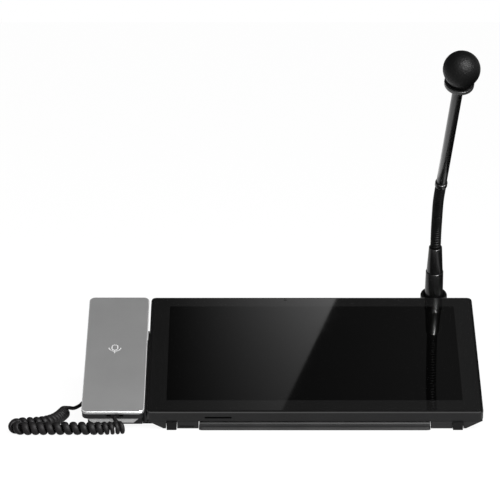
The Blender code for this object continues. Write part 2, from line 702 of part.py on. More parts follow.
def make_board(tilt, mats):
    """Main board inside the housing, on four posts that stand on the cover's floor."""
    top = COVER_BOTTOM + COVER_WALL + GAP + BOARD_LIFT + BOARD_THICKNESS
    low = (-BOARD_WIDTH / 2, BOARD_START, top - BOARD_THICKNESS)
    high = (BOARD_WIDTH / 2, BOARD_START + BOARD_LENGTH, top)
    board = add_piece("main_board", box_mesh("main_board", low, high), mats["board_green"], tilt)
    for index, (x, y) in enumerate(board_posts()):
        post = cylinder_cutter("board_post_%d" % (index + 1), BOARD_POST_RADIUS,
                               COVER_BOTTOM + COVER_WALL + GAP, top - BOARD_THICKNESS / 2,
                               tilt, x, y)
        combine(board, post, "UNION")


def board_posts():
    """Places of the board's four posts."""
    half = BOARD_WIDTH / 2 - BOARD_POST_INSET
    rows = (BOARD_START + BOARD_POST_INSET, BOARD_START + BOARD_LENGTH - BOARD_POST_INSET)
    return [(x, y) for y in rows for x in (-half, half)]


# Pedestal, base plate, ports and speaker

def pedestal_outline():
    """Side outline of the pedestal in desk Y and Z."""
    front = GLASS_FRONT_Y + PEDESTAL_FRONT_SET
    rear = BASE_DEPTH / 2
    bottom = BASE_THICKNESS + GAP
    top = PEDESTAL_NOSE_HEIGHT
    roll = PEDESTAL_NOSE_ROUND
    curl = [(front + roll * (1 - math.cos(a)), top - roll * (1 - math.sin(a)))
            for a in [math.radians(90 * i / CORNER_STEPS) for i in range(CORNER_STEPS + 1)]]
    slope = BRACKET_TOP
    return [(front, bottom), *curl, (slope_back(top, slope), top),
            (rear, slope_at(rear, slope)), (rear, bottom)]


def pedestal_cavity():
    """Hollow of the pedestal, open to the base plate."""
    start = GLASS_FRONT_Y + PEDESTAL_CAVITY_SET
    rear = BASE_DEPTH / 2 - PEDESTAL_WALL
    ceiling = BRACKET_TOP - PEDESTAL_WALL
    return [(start, 0), (start, slope_at(start, ceiling)), (rear, slope_at(rear, ceiling)),
            (rear, 0)]


def make_pedestal(mats):
    """Wedge pedestal: a hollow shell with bosses, a port window and speaker slots."""
    half = PEDESTAL_WIDTH / 2
    mesh = outline_mesh("pedestal", pedestal_outline(), -half, half, ACROSS_X)
    pedestal = add_piece("pedestal", mesh, mats["housing_black"])
    inner = half - PEDESTAL_WALL
    hollow = outline_mesh("pedestal_hollow", pedestal_cavity(), -inner, inner, ACROSS_X)
    combine(pedestal, add_cutter("pedestal_hollow", hollow))
    low, high = port_panel_corners()
    grow = Vector((GAP, OVERRUN, GAP))
    reach = Vector((0, PEDESTAL_WALL, 0))
    window = box_mesh("port_window", Vector(low) - grow - reach, Vector(high) + grow)
    combine(pedestal, add_cutter("port_window", window))
    bottom = BASE_THICKNESS + GAP
    for index, (x, y) in enumerate(base_screw_places()):
        number = "_%d" % (index + 1)
        if y > 0:
            boss = cylinder_cutter("boss" + number, PEDESTAL_BOSS_RADIUS, bottom,
                                   bottom + PEDESTAL_BOSS_HEIGHT, None, x, y)
            combine(pedestal, boss, "UNION")
        drill = cylinder_cutter("boss_hole" + number, SCREW_SHANK_RADIUS + GAP, 0,
                                screw_tip() + GAP, None, x, y)
        combine(pedestal, drill)
    for index in range(SPEAKER_SLOT_COUNT):
        combine(pedestal, speaker_slot(index))


def speaker_slot(index):
    """One of the upright sound slots in the pedestal's left wall."""
    middle = (SPEAKER_SLOT_COUNT - 1) / 2
    y = GLASS_FRONT_Y + SPEAKER_SET_BACK + (index - middle) * SPEAKER_SLOT_STEP
    x = -PEDESTAL_WIDTH / 2
    z = speaker_room()[1]
    low = (x - OVERRUN, y - SPEAKER_SLOT_WIDTH / 2, z - SPEAKER_SLOT_LENGTH / 2)
    high = (x + PEDESTAL_WALL + OVERRUN, y + SPEAKER_SLOT_WIDTH / 2,
            z + SPEAKER_SLOT_LENGTH / 2)
    return add_cutter("speaker_slot_%d" % (index + 1),
                      box_mesh("speaker_slot", low, high))


def base_screw_places():
    """Places of the four screws that hold the base plate."""
    half = PEDESTAL_WIDTH / 2 - BASE_SCREW_INSET_X
    front = GLASS_FRONT_Y + BASE_SCREW_FRONT_SET
    rear = BASE_DEPTH / 2 - BASE_SCREW_REAR_SET
    return [(-half, front), (half, front), (-half, rear), (half, rear)]


def speaker_room():
    """Radius and middle height of the speaker that fits between base plate and ceiling."""
    floor = BASE_THICKNESS + GAP + SPEAKER_CLEARANCE
    ceiling = slope_at(GLASS_FRONT_Y + SPEAKER_SET_BACK, BRACKET_TOP - PEDESTAL_WALL)
    radius = ((ceiling - floor) * math.cos(TILT) - SPEAKER_CLEARANCE) / (1 + math.cos(TILT))
    return radius, floor + radius


def screw_tip():
    """Height of a base screw's point above the desk."""
    return SCREW_SINK + SCREW_HEAD_HEIGHT + SCREW_SHANK_LENGTH


def make_base(mats):
    """Steel base plate on the desk, with its four screws from below."""
    half = BASE_WIDTH / 2
    mesh = box_mesh("base_plate", (-half, -BASE_DEPTH / 2, 0), (half, BASE_DEPTH / 2, BASE_THICKNESS),
                    BASE_CORNER)
    plate = add_piece("base_plate", mesh, mats["base_steel"])
    shoulder = SCREW_SINK + SCREW_HEAD_HEIGHT
    for index, (x, y) in enumerate(base_screw_places()):
        number = "_%d" % (index + 1)
        combine(plate, cylinder_cutter("base_hole" + number, SCREW_SHANK_RADIUS + GAP,
                                       -OVERRUN, BASE_THICKNESS + OVERRUN, None, x, y))
        combine(plate, cylinder_cutter("base_sink" + number, SCREW_HEAD_RADIUS + GAP,
                                       -OVERRUN, shoulder + GAP, None, x, y))
        place = make_empty("base_screw_place" + number, None, (x, y, 0))
        turned_piece("base_screw" + number,
                     [(0, screw_tip()), (SCREW_SHANK_RADIUS, screw_tip()),
                      (SCREW_SHANK_RADIUS, shoulder), (SCREW_HEAD_RADIUS, shoulder),
                      (SCREW_HEAD_RADIUS, SCREW_SINK), (0, SCREW_SINK)],
                     mats["screw_steel"], place, SMALL_SIDES)


def port_panel_corners():
    """Corners of the plate that closes the window in the pedestal's rear wall."""
    rear = BASE_DEPTH / 2
    half = PORT_PANEL_WIDTH / 2
    bottom = PORT_PANEL_HEIGHT_ABOVE_DESK
    return ((-half, rear - PORT_PANEL_THICKNESS, bottom), (half, rear, bottom + PORT_PANEL_HEIGHT))


def make_ports(mats):
    """Port panel with two network sockets through it."""
    low, high = port_panel_corners()
    panel = add_piece("port_panel", box_mesh("port_panel", low, high), mats["panel_grey"])
    middle = PORT_PANEL_HEIGHT_ABOVE_DESK + PORT_PANEL_HEIGHT / 2
    rear = BASE_DEPTH / 2
    for name, x in (("lan_socket", -SOCKET_SPACING / 2), ("audio_socket", SOCKET_SPACING / 2)):
        body_low = Vector((x - SOCKET_WIDTH / 2, rear - SOCKET_DEPTH, middle - SOCKET_HEIGHT / 2))
        body_high = Vector((x + SOCKET_WIDTH / 2, rear, middle + SOCKET_HEIGHT / 2))
        grow = Vector((GAP, OVERRUN, GAP))
        combine(panel, add_cutter(name + "_hole", box_mesh(name + "_hole", body_low - grow,
                                                           body_high + grow)))
        socket = add_piece(name, box_mesh(name, body_low, body_high), mats["socket_metal"])
        mouth_low = (x - SOCKET_MOUTH_WIDTH / 2, rear - SOCKET_MOUTH_DEPTH,
                     middle - SOCKET_MOUTH_HEIGHT / 2)
        mouth_high = (x + SOCKET_MOUTH_WIDTH / 2, rear + OVERRUN, middle + SOCKET_MOUTH_HEIGHT / 2)
        combine(socket, add_cutter(name + "_mouth", box_mesh(name + "_mouth", mouth_low,
                                                             mouth_high)))


def make_speaker(mats):
    """Small speaker against the slots in the pedestal's left wall."""
    wall = -PEDESTAL_WIDTH / 2 + PEDESTAL_WALL + GAP
    radius, height = speaker_room()
    place = make_empty("speaker_place", None,
                       (wall, GLASS_FRONT_Y + SPEAKER_SET_BACK, height),
                       (0, math.radians(90), 0))
    turned_piece("speaker",
                 [(0, SPEAKER_DEPTH), (SPEAKER_MAGNET_RADIUS, SPEAKER_DEPTH),
                  (SPEAKER_MAGNET_RADIUS, SPEAKER_DEPTH / 2), (radius, SPEAKER_RIM_THICKNESS),
                  (radius, 0), (0, 0)],
                 mats["speaker_grey"], place)


# Microphone

def make_bracket(tilt, cover, mats):
    """Bracket under the housing that carries the microphone's socket, and its screws."""
    along = FRAME_LENGTH + MIC_BACK_SET
    start = BRACKET_START
    arc = [math.radians(180 * i / (2 * CORNER_STEPS)) for i in range(2 * CORNER_STEPS + 1)]
    outline = [(MIC_X + BRACKET_RADIUS * math.cos(a), along + BRACKET_RADIUS * math.sin(a))
               for a in arc]
    outline += [(MIC_X - BRACKET_RADIUS, start), (MIC_X + BRACKET_RADIUS, start)]
    mesh = outline_mesh("mic_bracket", outline, BRACKET_BOTTOM, BRACKET_TOP)
    bracket = add_piece("mic_bracket", mesh, mats["housing_black"], tilt)
    combine(bracket, cylinder_cutter("mic_socket_bore", MIC_SOCKET_RADIUS + GAP,
                                     BRACKET_BOTTOM - OVERRUN, BRACKET_TOP + OVERRUN, tilt,
                                     MIC_X, along, ROUND_SIDES))
    head_top = BRACKET_BOTTOM - GAP
    tip = head_top + BRACKET_SCREW_LENGTH
    for index in range(BRACKET_SCREW_COUNT):
        number = "_%d" % (index + 1)
        y = start + BRACKET_SCREW_FRONT_SET + index * BRACKET_SCREW_STEP
        for piece in (bracket, cover):
            drill = cylinder_cutter("bracket_hole" + number + "_" + piece.name,
                                    SCREW_SHANK_RADIUS + GAP, head_top, tip + GAP, tilt, MIC_X, y)
            combine(piece, drill)
        place = make_empty("bracket_screw_place" + number, tilt, (MIC_X, y, 0))
        turned_piece("bracket_screw" + number,
                     [(0, tip), (SCREW_SHANK_RADIUS, tip), (SCREW_SHANK_RADIUS, head_top),
                      (SCREW_HEAD_RADIUS, head_top),
                      (SCREW_HEAD_RADIUS, head_top - SCREW_HEAD_HEIGHT),
                      (0, head_top - SCREW_HEAD_HEIGHT)],
                     mats["screw_steel"], place, SMALL_SIDES)


def make_mic_foot(tilt, mats):
    """Socket, collar and the two fixed sleeves of the microphone."""
    axis = make_empty("mic_axis", tilt, (MIC_X, FRAME_LENGTH + MIC_BACK_SET, 0))
    turned_piece("mic_socket", [(0, BRACKET_TOP), (MIC_SOCKET_RADIUS, BRACKET_TOP),
                                (MIC_SOCKET_RADIUS, BRACKET_BOTTOM), (0, BRACKET_BOTTOM)],
                 mats["socket_metal"], axis)
    foot = BRACKET_TOP + GAP
    top = -COLLAR_TOP_DROP
    inner = SLEEVE_FOOT_RADIUS + COLLAR_CLEARANCE
    turned_piece("mic_collar",
                 [(COLLAR_RADIUS - COLLAR_ROUND, top), (COLLAR_RADIUS, top - COLLAR_ROUND),
                  (COLLAR_RADIUS, foot), (inner, foot), (inner, top - COLLAR_GROOVE),
                  (inner + COLLAR_GROOVE / 2, top - COLLAR_GROOVE / 2),
                  (inner + COLLAR_GROOVE, top)],
                 mats["collar_black"], axis)
    turned_piece("mic_sleeve",
                 [(SLEEVE_TOP_RADIUS - SLEEVE_EDGE, SLEEVE_TOP),
                  (SLEEVE_TOP_RADIUS, SLEEVE_TOP - SLEEVE_EDGE), (SLEEVE_FOOT_RADIUS, foot),
                  (SLEEVE_BORE, foot), (SLEEVE_BORE, SLEEVE_TOP)],
                 mats["mic_black"], axis)
    taper_foot = SLEEVE_TOP + GAP
    turned_piece("mic_taper",
                 [(TAPER_TOP_RADIUS - TAPER_EDGE, TAPER_TOP),
                  (TAPER_TOP_RADIUS, TAPER_TOP - TAPER_EDGE), (TAPER_FOOT_RADIUS, taper_foot),
                  (SLEEVE_BORE, taper_foot), (SLEEVE_BORE, TAPER_TOP)],
                 mats["mic_black"], axis)
    return axis


def bent_route(length, bend, stations):
    """Points of a straight, bent, straight run that starts along Z and bends towards -Y."""
    arc = length - 2 * HOSE_STRAIGHT
    radius = arc / bend
    points = []
    for s in stations:
        turned = min(max(s - HOSE_STRAIGHT, 0), arc) / radius
        y = -radius * (1 - math.cos(turned))
        z = min(s, HOSE_STRAIGHT) + radius * math.sin(turned)
        rest = max(s - HOSE_STRAIGHT - arc, 0)
        points.append((0, y - rest * math.sin(turned), z + rest * math.cos(turned)))
    return points


def make_hose_half(name, bend, parent, mats):
    """One ribbed half of the gooseneck's hose, with its bore, in the parent's frame."""
    count = 2 * HOSE_RIB_COUNT + 1
    stations = [HOSE_HALF_LENGTH * i / (count - 1) for i in range(count)]
    groove_share = HOSE_GROOVE_RADIUS / HOSE_RADIUS
    shares = [groove_share if i % 2 == 0 else 1.0 for i in range(count)]
    points = bent_route(HOSE_HALF_LENGTH, bend, stations)
    skin = bpy.data.objects.new(name, tube_curve(name, points, HOSE_RADIUS, 2, shares))
    bpy.context.scene.collection.objects.link(skin)
    hose = add_piece(name, mesh_of_curve(skin), mats["hose_black"], parent)
    inside = [HOSE_HALF_LENGTH * i / HOSE_BORE_SPLITS for i in range(HOSE_BORE_SPLITS + 1)]
    route = [Vector(p) for p in bent_route(HOSE_HALF_LENGTH, bend, inside)]
    ahead = (route[0] - route[1]).normalized() * OVERRUN
    beyond = (route[-1] - route[-2]).normalized() * OVERRUN
    route = [route[0] + ahead, *route[1:-1], route[-1] + beyond]
    core = bpy.data.objects.new(name + "_bore", tube_curve(name + "_bore", route,
                                                           HOSE_BORE_RADIUS, 1))
    bpy.context.scene.collection.objects.link(core)
    combine(hose, add_cutter(name + "_bore", mesh_of_curve(core), parent))


def make_gooseneck(axis, mats):
    """Two hose halves, the joint ring and tube; each half bends at its own hinge."""
    arc = HOSE_HALF_LENGTH - 2 * HOSE_STRAIGHT
    lower_foot = make_empty("hose_lower_foot", axis, (0, 0, TAPER_TOP + GAP))
    make_hose_half("hose_lower", NOD_BEND, lower_foot, mats)
    tangent = arc / NOD_BEND * math.tan(NOD_BEND / 2)
    hinge_height = HOSE_STRAIGHT + tangent
    nod = make_empty("nod_hinge", lower_foot, (0, 0, hinge_height), (NOD_BEND, 0, 0))
    upper_foot = make_empty("hose_upper_foot", nod, (0, 0, hinge_height + GAP),
                            (0, 0, math.radians(90)))
    make_hose_half("hose_upper", SWAY_BEND, upper_foot, mats)
    tangent = arc / SWAY_BEND * math.tan(SWAY_BEND / 2)
    hinge_height = HOSE_STRAIGHT + tangent
    sway = make_empty("sway_hinge", upper_foot, (0, 0, hinge_height), (SWAY_BEND, 0, 0))
    return make_empty("mic_head", sway, (0, 0, hinge_height + GAP))


def make_mic_head(head, mats):
    """Everything above the hose: ring, tube, cup, capsule and foam ball."""
    turned_piece("joint_ring",
                 [(RING_RADIUS - RING_EDGE, RING_LENGTH), (RING_RADIUS, RING_LENGTH - RING_EDGE),
                  (RING_RADIUS, RING_EDGE), (RING_RADIUS - RING_EDGE, 0), (TUBE_BORE_RADIUS, 0),
                  (TUBE_BORE_RADIUS, RING_LENGTH)],
                 mats["mic_black"], head)
    tube_foot = RING_LENGTH + GAP
    tube_top = tube_foot + TUBE_LENGTH
    turned_piece("mic_tube", [(TUBE_RADIUS, tube_top), (TUBE_RADIUS, tube_foot),
                              (TUBE_BORE_RADIUS, tube_foot), (TUBE_BORE_RADIUS, tube_top)],
                 mats["mic_black"], head)
    neck_foot = tube_top + GAP
    cup_foot = neck_foot + NECK_LENGTH
    rim = cup_foot + CUP_LENGTH
    floor = cup_foot + CUP_FLOOR
    inner = CUP_RADIUS - CUP_WALL
    turned_piece("mic_cup",
                 [(inner, rim), (CUP_RADIUS - CUP_EDGE, rim), (CUP_RADIUS, rim - CUP_EDGE),
                  (CUP_RADIUS, cup_foot + CUP_EDGE), (CUP_RADIUS - CUP_EDGE, cup_foot),
                  (NECK_TOP_RADIUS, cup_foot), (NECK_FOOT_RADIUS, neck_foot),
                  (TUBE_BORE_RADIUS, neck_foot), (TUBE_BORE_RADIUS, floor), (inner, floor)],
                 mats["mic_black"], head)
    capsule_foot = floor + GAP
    capsule_top = capsule_foot + CAPSULE_LENGTH
    turned_piece("mic_capsule",
                 [(0, capsule_top), (CAPSULE_RADIUS - CAPSULE_EDGE, capsule_top),
                  (CAPSULE_RADIUS, capsule_top - CAPSULE_EDGE), (CAPSULE_RADIUS, capsule_foot),
                  (0, capsule_foot)],
                 mats["capsule_metal"], head)
    turned_piece("foam_ball", foam_profile(floor + GAP, rim), mats["foam_grey"], head)


def foam_profile(foot, rim):
    """Foam ball: a sphere on a short neck that fills the cup round the capsule."""
    centre = rim + FOAM_CENTRE
    neck = FOAM_NECK_RADIUS
    low_angle = math.asin(neck / FOAM_RADIUS) - math.pi
    profile = []
    for i in range(FOAM_ARC_STEPS + 1):
        a = -low_angle * i / FOAM_ARC_STEPS
        profile.append((FOAM_RADIUS * math.sin(a), centre + FOAM_RADIUS * math.cos(a)))
    profile[0] = (0, centre + FOAM_RADIUS)
    bore = CAPSULE_RADIUS + GAP
    roof = foot + FOAM_BORE_DEPTH
    return profile + [(neck, foot), (bore, foot), (bore, roof), (0, roof)]


# Handset

def make_handset(tilt, mats):
    """Handset: face, band, lower shell, two caps and the parts inside."""
    lift = make_empty("handset_lift", tilt, (HANDSET_X, 0, 0))
    half = HANDSET_WIDTH / 2
    face = rimmed_plate("handset_face", (-half, 0, -HANDSET_FACE_THICKNESS),
                        (half, FRAME_LENGTH, 0), HANDSET_CORNER, HANDSET_FACE_EDGE)
    add_piece("handset_face", face, mats["satin_silver"], lift)
    make_band(lift, half, mats)
    make_handset_shell(lift, mats)
    ear = FRAME_LENGTH - EAR_BACK_SET
    for name, y in (("ear_cap", ear), ("mouth_cap", MOUTH_FRONT_SET)):
        make_cap(name, y, lift, mats)
    floor = SHELL_BOTTOM + SHELL_WALL + GAP
    ear_place = make_empty("receiver_place", lift, (0, ear, floor))
    turned_piece("receiver", [(0, RECEIVER_THICKNESS), (RECEIVER_RADIUS, RECEIVER_THICKNESS),
                              (RECEIVER_RADIUS, 0), (0, 0)], mats["speaker_grey"], ear_place)
    mouth_place = make_empty("mouth_mic_place", lift, (0, MOUTH_FRONT_SET, floor))
    turned_piece("mouth_mic", [(0, MOUTH_MIC_THICKNESS), (MOUTH_MIC_RADIUS, MOUTH_MIC_THICKNESS),
                               (MOUTH_MIC_RADIUS, 0), (0, 0)],
                 mats["capsule_metal"], mouth_place, SMALL_SIDES)
    make_handset_plug(lift, mats)


def make_band(lift, half, mats):
    """Black middle band: a ring, with the cord recess and plug notch in its front end."""
    low = (-half + BAND_INSET, BAND_INSET, BAND_BOTTOM)
    high = (half - BAND_INSET, FRAME_LENGTH - BAND_INSET, BAND_TOP)
    band = add_piece("handset_band", box_mesh("handset_band", low, high,
                                              HANDSET_CORNER - BAND_INSET),
                     mats["housing_black"], lift)
    hollow = box_mesh("band_hollow", (-half + BAND_WALL, BAND_WALL, BAND_BOTTOM - OVERRUN),
                      (half - BAND_WALL, FRAME_LENGTH - BAND_WALL, BAND_TOP + OVERRUN))
    combine(band, add_cutter("band_hollow", hollow, lift))
    top = BAND_TOP - RECESS_DROP
    recess = box_mesh("cord_recess", (RECESS_X - RECESS_WIDTH / 2, -OVERRUN, top - RECESS_HEIGHT),
                      (RECESS_X + RECESS_WIDTH / 2, RECESS_DEPTH, top))
    combine(band, add_cutter("cord_recess", recess, lift))
    notch_half = HANDSET_PLUG_WIDTH / 2 + GAP
    notch = box_mesh("plug_notch", (RECESS_X - notch_half, -OVERRUN, BAND_BOTTOM - OVERRUN),
                     (RECESS_X + notch_half, RECESS_DEPTH, top))
    combine(band, add_cutter("plug_notch", notch, lift))


def shell_section(wall):
    """Plan of the handset's lower shell at each height, drawn in by a wall's thickness."""
    def section(z):
        share = (SHELL_TOP - z) / SHELL_THICKNESS
        side = slanted_wall(wall, SHELL_CHAMFER, SHELL_THICKNESS)
        return (SHELL_TOP_WIDTH / 2 - share * SHELL_CHAMFER - side,
                SHELL_END_INSET + wall, FRAME_LENGTH - SHELL_END_INSET - wall)
    return section


def make_handset_shell(lift, mats):
    """Silver lower shell with chamfered sides, open towards the band."""
    mesh = tray_mesh("handset_shell", shell_section(0), SHELL_BOTTOM, SHELL_TOP)
    shell = add_piece("handset_shell", mesh, mats["satin_silver"], lift)
    hollow = tray_mesh("shell_hollow", shell_section(SHELL_WALL), SHELL_BOTTOM + SHELL_WALL,
                       SHELL_TOP + OVERRUN)
    combine(shell, add_cutter("shell_hollow", hollow, lift))


def make_cap(name, y, lift, mats):
    """Round ear or mouth cap under the shell, with a ring of small ports."""
    top = SHELL_BOTTOM - GAP
    bottom = top - CAP_THICKNESS
    place = make_empty(name + "_place", lift, (0, y, 0))
    cap = turned_piece(name, [(0, top), (CAP_RADIUS, top), (CAP_RADIUS, bottom + CAP_EDGE),
                              (CAP_RADIUS - CAP_EDGE, bottom), (0, bottom)],
                       mats["housing_black"], place)
    for index in range(CAP_PORT_COUNT):
        a = math.radians(360 * index / CAP_PORT_COUNT)
        port = cylinder_cutter("%s_port_%d" % (name, index + 1), CAP_PORT_RADIUS,
                               bottom - OVERRUN, bottom + CAP_PORT_DEPTH, place,
                               CAP_PORT_RING * math.cos(a), CAP_PORT_RING * math.sin(a),
                               TINY_SIDES)
        combine(cap, port)


def make_handset_plug(lift, mats):
    """Cord plug in the notch under the band's recess."""
    half = HANDSET_PLUG_WIDTH / 2
    back = RECESS_DEPTH - GAP
    plug = box_mesh("handset_plug", (RECESS_X - half, back - HANDSET_PLUG_DEPTH, BAND_BOTTOM + GAP),
                    (RECESS_X + half, back, BAND_BOTTOM + GAP + HANDSET_PLUG_TALL))
    add_piece("handset_plug", plug, mats["cord_black"], lift)


# Cradle

def cradle_rear():
    """Desk Y of the cradle's rear wall at the desk; the wall leans back above it."""
    return on_desk(CRADLE_TOP_END, CRADLE_TOP)[0] - CRADLE_REAR_LEAN


def cradle_outline():
    """Side outline of the cradle in desk Y and Z."""
    return [(GLASS_FRONT_Y + CRADLE_FRONT_SET, 0), on_desk(CRADLE_TOP_START, CRADLE_TOP),
            on_desk(CRADLE_TOP_END, CRADLE_TOP), (cradle_rear(), 0)]


def cradle_cavity():
    """Hollow of the cradle, open to its floor plate."""
    return [(GLASS_FRONT_Y + CRADLE_FRONT_SET + CRADLE_FRONT_WALL, -OVERRUN),
            on_desk(CRADLE_TOP_START + CRADLE_CAVITY_LEAD, CRADLE_UNDERSIDE),
            on_desk(CRADLE_TOP_END - CRADLE_FRONT_WALL, CRADLE_UNDERSIDE),
            (cradle_rear() - CRADLE_WALL, -OVERRUN)]


def make_cradle(tilt, mats):
    """Cradle body with two cap pockets, the plunger's hole and the cord socket's window."""
    mesh = outline_mesh("cradle_body", cradle_outline(), CRADLE_LEFT, CRADLE_RIGHT, ACROSS_X)
    cradle = add_piece("cradle_body", mesh, mats["housing_black"])
    hollow = outline_mesh("cradle_hollow", cradle_cavity(), CRADLE_LEFT + CRADLE_WALL,
                          CRADLE_RIGHT - CRADLE_WALL, ACROSS_X)
    combine(cradle, add_cutter("cradle_hollow", hollow))
    floor = SHELL_BOTTOM - GAP - CAP_THICKNESS - GAP
    for name, y in (("ear", FRAME_LENGTH - EAR_BACK_SET), ("mouth", MOUTH_FRONT_SET)):
        pocket = cylinder_cutter(name + "_pocket", CAP_RADIUS + CAP_CLEARANCE, floor,
                                 CRADLE_TOP + OVERRUN, tilt, HANDSET_X, y, ROUND_SIDES)
        combine(cradle, pocket)
    combine(cradle, cylinder_cutter("plunger_hole", PLUNGER_RADIUS + GAP,
                                    CRADLE_UNDERSIDE - OVERRUN, CRADLE_TOP + OVERRUN, tilt,
                                    HANDSET_X, PLUNGER_SET))
    low, high = cord_socket_corners()
    grow = Vector((OVERRUN, GAP, GAP))
    combine(cradle, add_cutter("cord_socket_window",
                               box_mesh("cord_socket_window", low - grow, high + grow)))
    inset = CRADLE_WALL + GAP
    front = GLASS_FRONT_Y + CRADLE_FRONT_SET + CRADLE_FRONT_WALL + GAP
    rear = cradle_rear() - CRADLE_WALL - GAP
    plate = box_mesh("cradle_floor", (CRADLE_LEFT + inset, front, FLOOR_SINK),
                     (CRADLE_RIGHT - inset, rear, FLOOR_SINK + FLOOR_THICKNESS))
    add_piece("cradle_floor", plate, mats["housing_black"])


def make_hook_switch(tilt, mats):
    """Hook plunger, its spring, the switch and the small board that carries them."""
    place = make_empty("plunger_axis", tilt, (HANDSET_X, PLUNGER_SET, 0))
    tip = SHELL_BOTTOM - GAP
    flange_top = CRADLE_UNDERSIDE - PLUNGER_TRAVEL - GAP
    flange_bottom = flange_top - PLUNGER_FLANGE_THICKNESS
    stem_bottom = flange_bottom - PLUNGER_STEM_LENGTH
    turned_piece("hook_plunger",
                 [(0, tip), (PLUNGER_RADIUS, tip), (PLUNGER_RADIUS, flange_top),
                  (PLUNGER_FLANGE_RADIUS, flange_top), (PLUNGER_FLANGE_RADIUS, flange_bottom),
                  (PLUNGER_STEM_RADIUS, flange_bottom), (PLUNGER_STEM_RADIUS, stem_bottom),
                  (0, stem_bottom)],
                 mats["collar_black"], place, SMALL_SIDES)
    spring_top = flange_bottom - GAP - SPRING_WIRE_RADIUS
    rise = SPRING_LENGTH - 2 * SPRING_WIRE_RADIUS
    steps = SPRING_TURNS * SPRING_POINTS_PER_TURN
    points = []
    for i in range(steps + 1):
        a = math.radians(360 * i / SPRING_POINTS_PER_TURN)
        points.append((SPRING_RADIUS * math.cos(a), SPRING_RADIUS * math.sin(a),
                       spring_top - rise * i / steps))
    curve = tube_curve("hook_spring", points, SPRING_WIRE_RADIUS, 1)
    spring = bpy.data.objects.new("hook_spring", curve)
    spring.parent = place
    curve.materials.append(mats["screw_steel"])
    parts.objects.link(spring)
    seat = spring_top - rise - SPRING_WIRE_RADIUS - GAP
    switch = box_mesh("hook_switch", (-SWITCH_WIDTH / 2, -SWITCH_LENGTH / 2, seat - SWITCH_THICKNESS),
                      (SWITCH_WIDTH / 2, SWITCH_LENGTH / 2, seat))
    add_piece("hook_switch", switch, mats["socket_metal"], place)
    board_top = seat - SWITCH_THICKNESS - GAP
    inner_left = CRADLE_LEFT + CRADLE_WALL + GAP - HANDSET_X
    inner_right = CRADLE_RIGHT - CRADLE_WALL - GAP - HANDSET_X
    board = box_mesh("hook_board", (inner_left, -SWITCH_BOARD_LENGTH / 2, board_top - BOARD_THICKNESS),
                     (inner_right, SWITCH_BOARD_LENGTH / 2, board_top))
    add_piece("hook_board", board, mats["board_green"], place)


def make_link(tilt, mats):
    """Link block that ties the cradle to the housing, with a fin in the gap above it."""
    left = HANDSET_RIGHT + GAP
    right = -HALF_FRAME - GAP
    fin = box_mesh("link_block", (left, LINK_FIN_START, CRADLE_TOP - OVERRUN),
                   (right, LINK_END, -LINK_FIN_DROP))
    link = add_piece("link_block", fin, mats["housing_black"], tilt)
    cover_top_x = -HALF_FRAME + COVER_INSET
    cover_bottom_x = cover_top_x + COVER_SIDE_CHAMFER
    under = COVER_BOTTOM - GAP
    cradle_side = CRADLE_RIGHT + GAP
    outline = [(cradle_side, -LINK_DEPTH), (cradle_side, CRADLE_TOP), (right - 2 * GAP, CRADLE_TOP),
               (cover_bottom_x - 2 * GAP, under), (right + LINK_CONSOLE_REACH, under),
               (right + LINK_CONSOLE_REACH, -LINK_DEPTH)]
    bridge = outline_mesh("link_bridge", outline, LINK_START, LINK_END, ALONG_SLOPE)
    combine(link, add_cutter("link_bridge", bridge, tilt), "UNION")
    front = GLASS_FRONT_Y + LINK_FOOT_FRONT_SET
    rear = GLASS_FRONT_Y + LINK_END - LINK_FOOT_REAR_LEAD
    inside = OVERRUN - LINK_DEPTH
    side = [(front, 0), (front, slope_at(front, inside)), (rear, slope_at(rear, inside)), (rear, 0)]
    foot = outline_mesh("link_foot", side, cradle_side, right + LINK_FOOT_REACH, ACROSS_X)
    combine(link, add_cutter("link_foot", foot), "UNION")


# Cord and its ends

def cord_socket_corners():
    """Corners of the cord socket behind the cradle's left wall."""
    y = GLASS_FRONT_Y + CORD_SOCKET_SET
    low = Vector((CRADLE_LEFT + GAP, y - CORD_SOCKET_WIDTH / 2,
                  CORD_SOCKET_HEIGHT - CORD_SOCKET_TALL / 2))
    high = low + Vector((CORD_SOCKET_DEPTH, CORD_SOCKET_WIDTH, CORD_SOCKET_TALL))
    return low, high


def make_cord_socket(mats):
    """Cord socket with the cord's plug in it."""
    low, high = cord_socket_corners()
    socket = add_piece("cord_socket", box_mesh("cord_socket", low, high), mats["socket_metal"])
    y = GLASS_FRONT_Y + CORD_SOCKET_SET
    plug_low = Vector((low.x - CORD_PLUG_LIP, y - CORD_PLUG_WIDTH / 2,
                       CORD_SOCKET_HEIGHT - CORD_PLUG_TALL / 2))
    plug_high = Vector((low.x + CORD_PLUG_DEPTH, y + CORD_PLUG_WIDTH / 2,
                        CORD_SOCKET_HEIGHT + CORD_PLUG_TALL / 2))
    grow = Vector((GAP, GAP, GAP))
    combine(socket, add_cutter("cord_plug_hole", box_mesh("cord_plug_hole", plug_low - grow,
                                                          plug_high + grow)))
    add_piece("cradle_plug", box_mesh("cradle_plug", plug_low, plug_high), mats["cord_black"])


def smooth_curve(points, per_span):
    """A Catmull-Rom curve through the points."""
    knots = [2 * points[0] - points[1], *points, 2 * points[-1] - points[-2]]
    out = []
    for i in range(1, len(knots) - 2):
        a, b, c, d = knots[i - 1:i + 3]
        for k in range(per_span):
            t = k / per_span
            out.append(0.5 * (2 * b + (c - a) * t + (2 * a - 5 * b + 4 * c - d) * t ** 2
                              + (3 * b - a - 3 * c + d) * t ** 3))
    out.append(knots[-2])
    return out


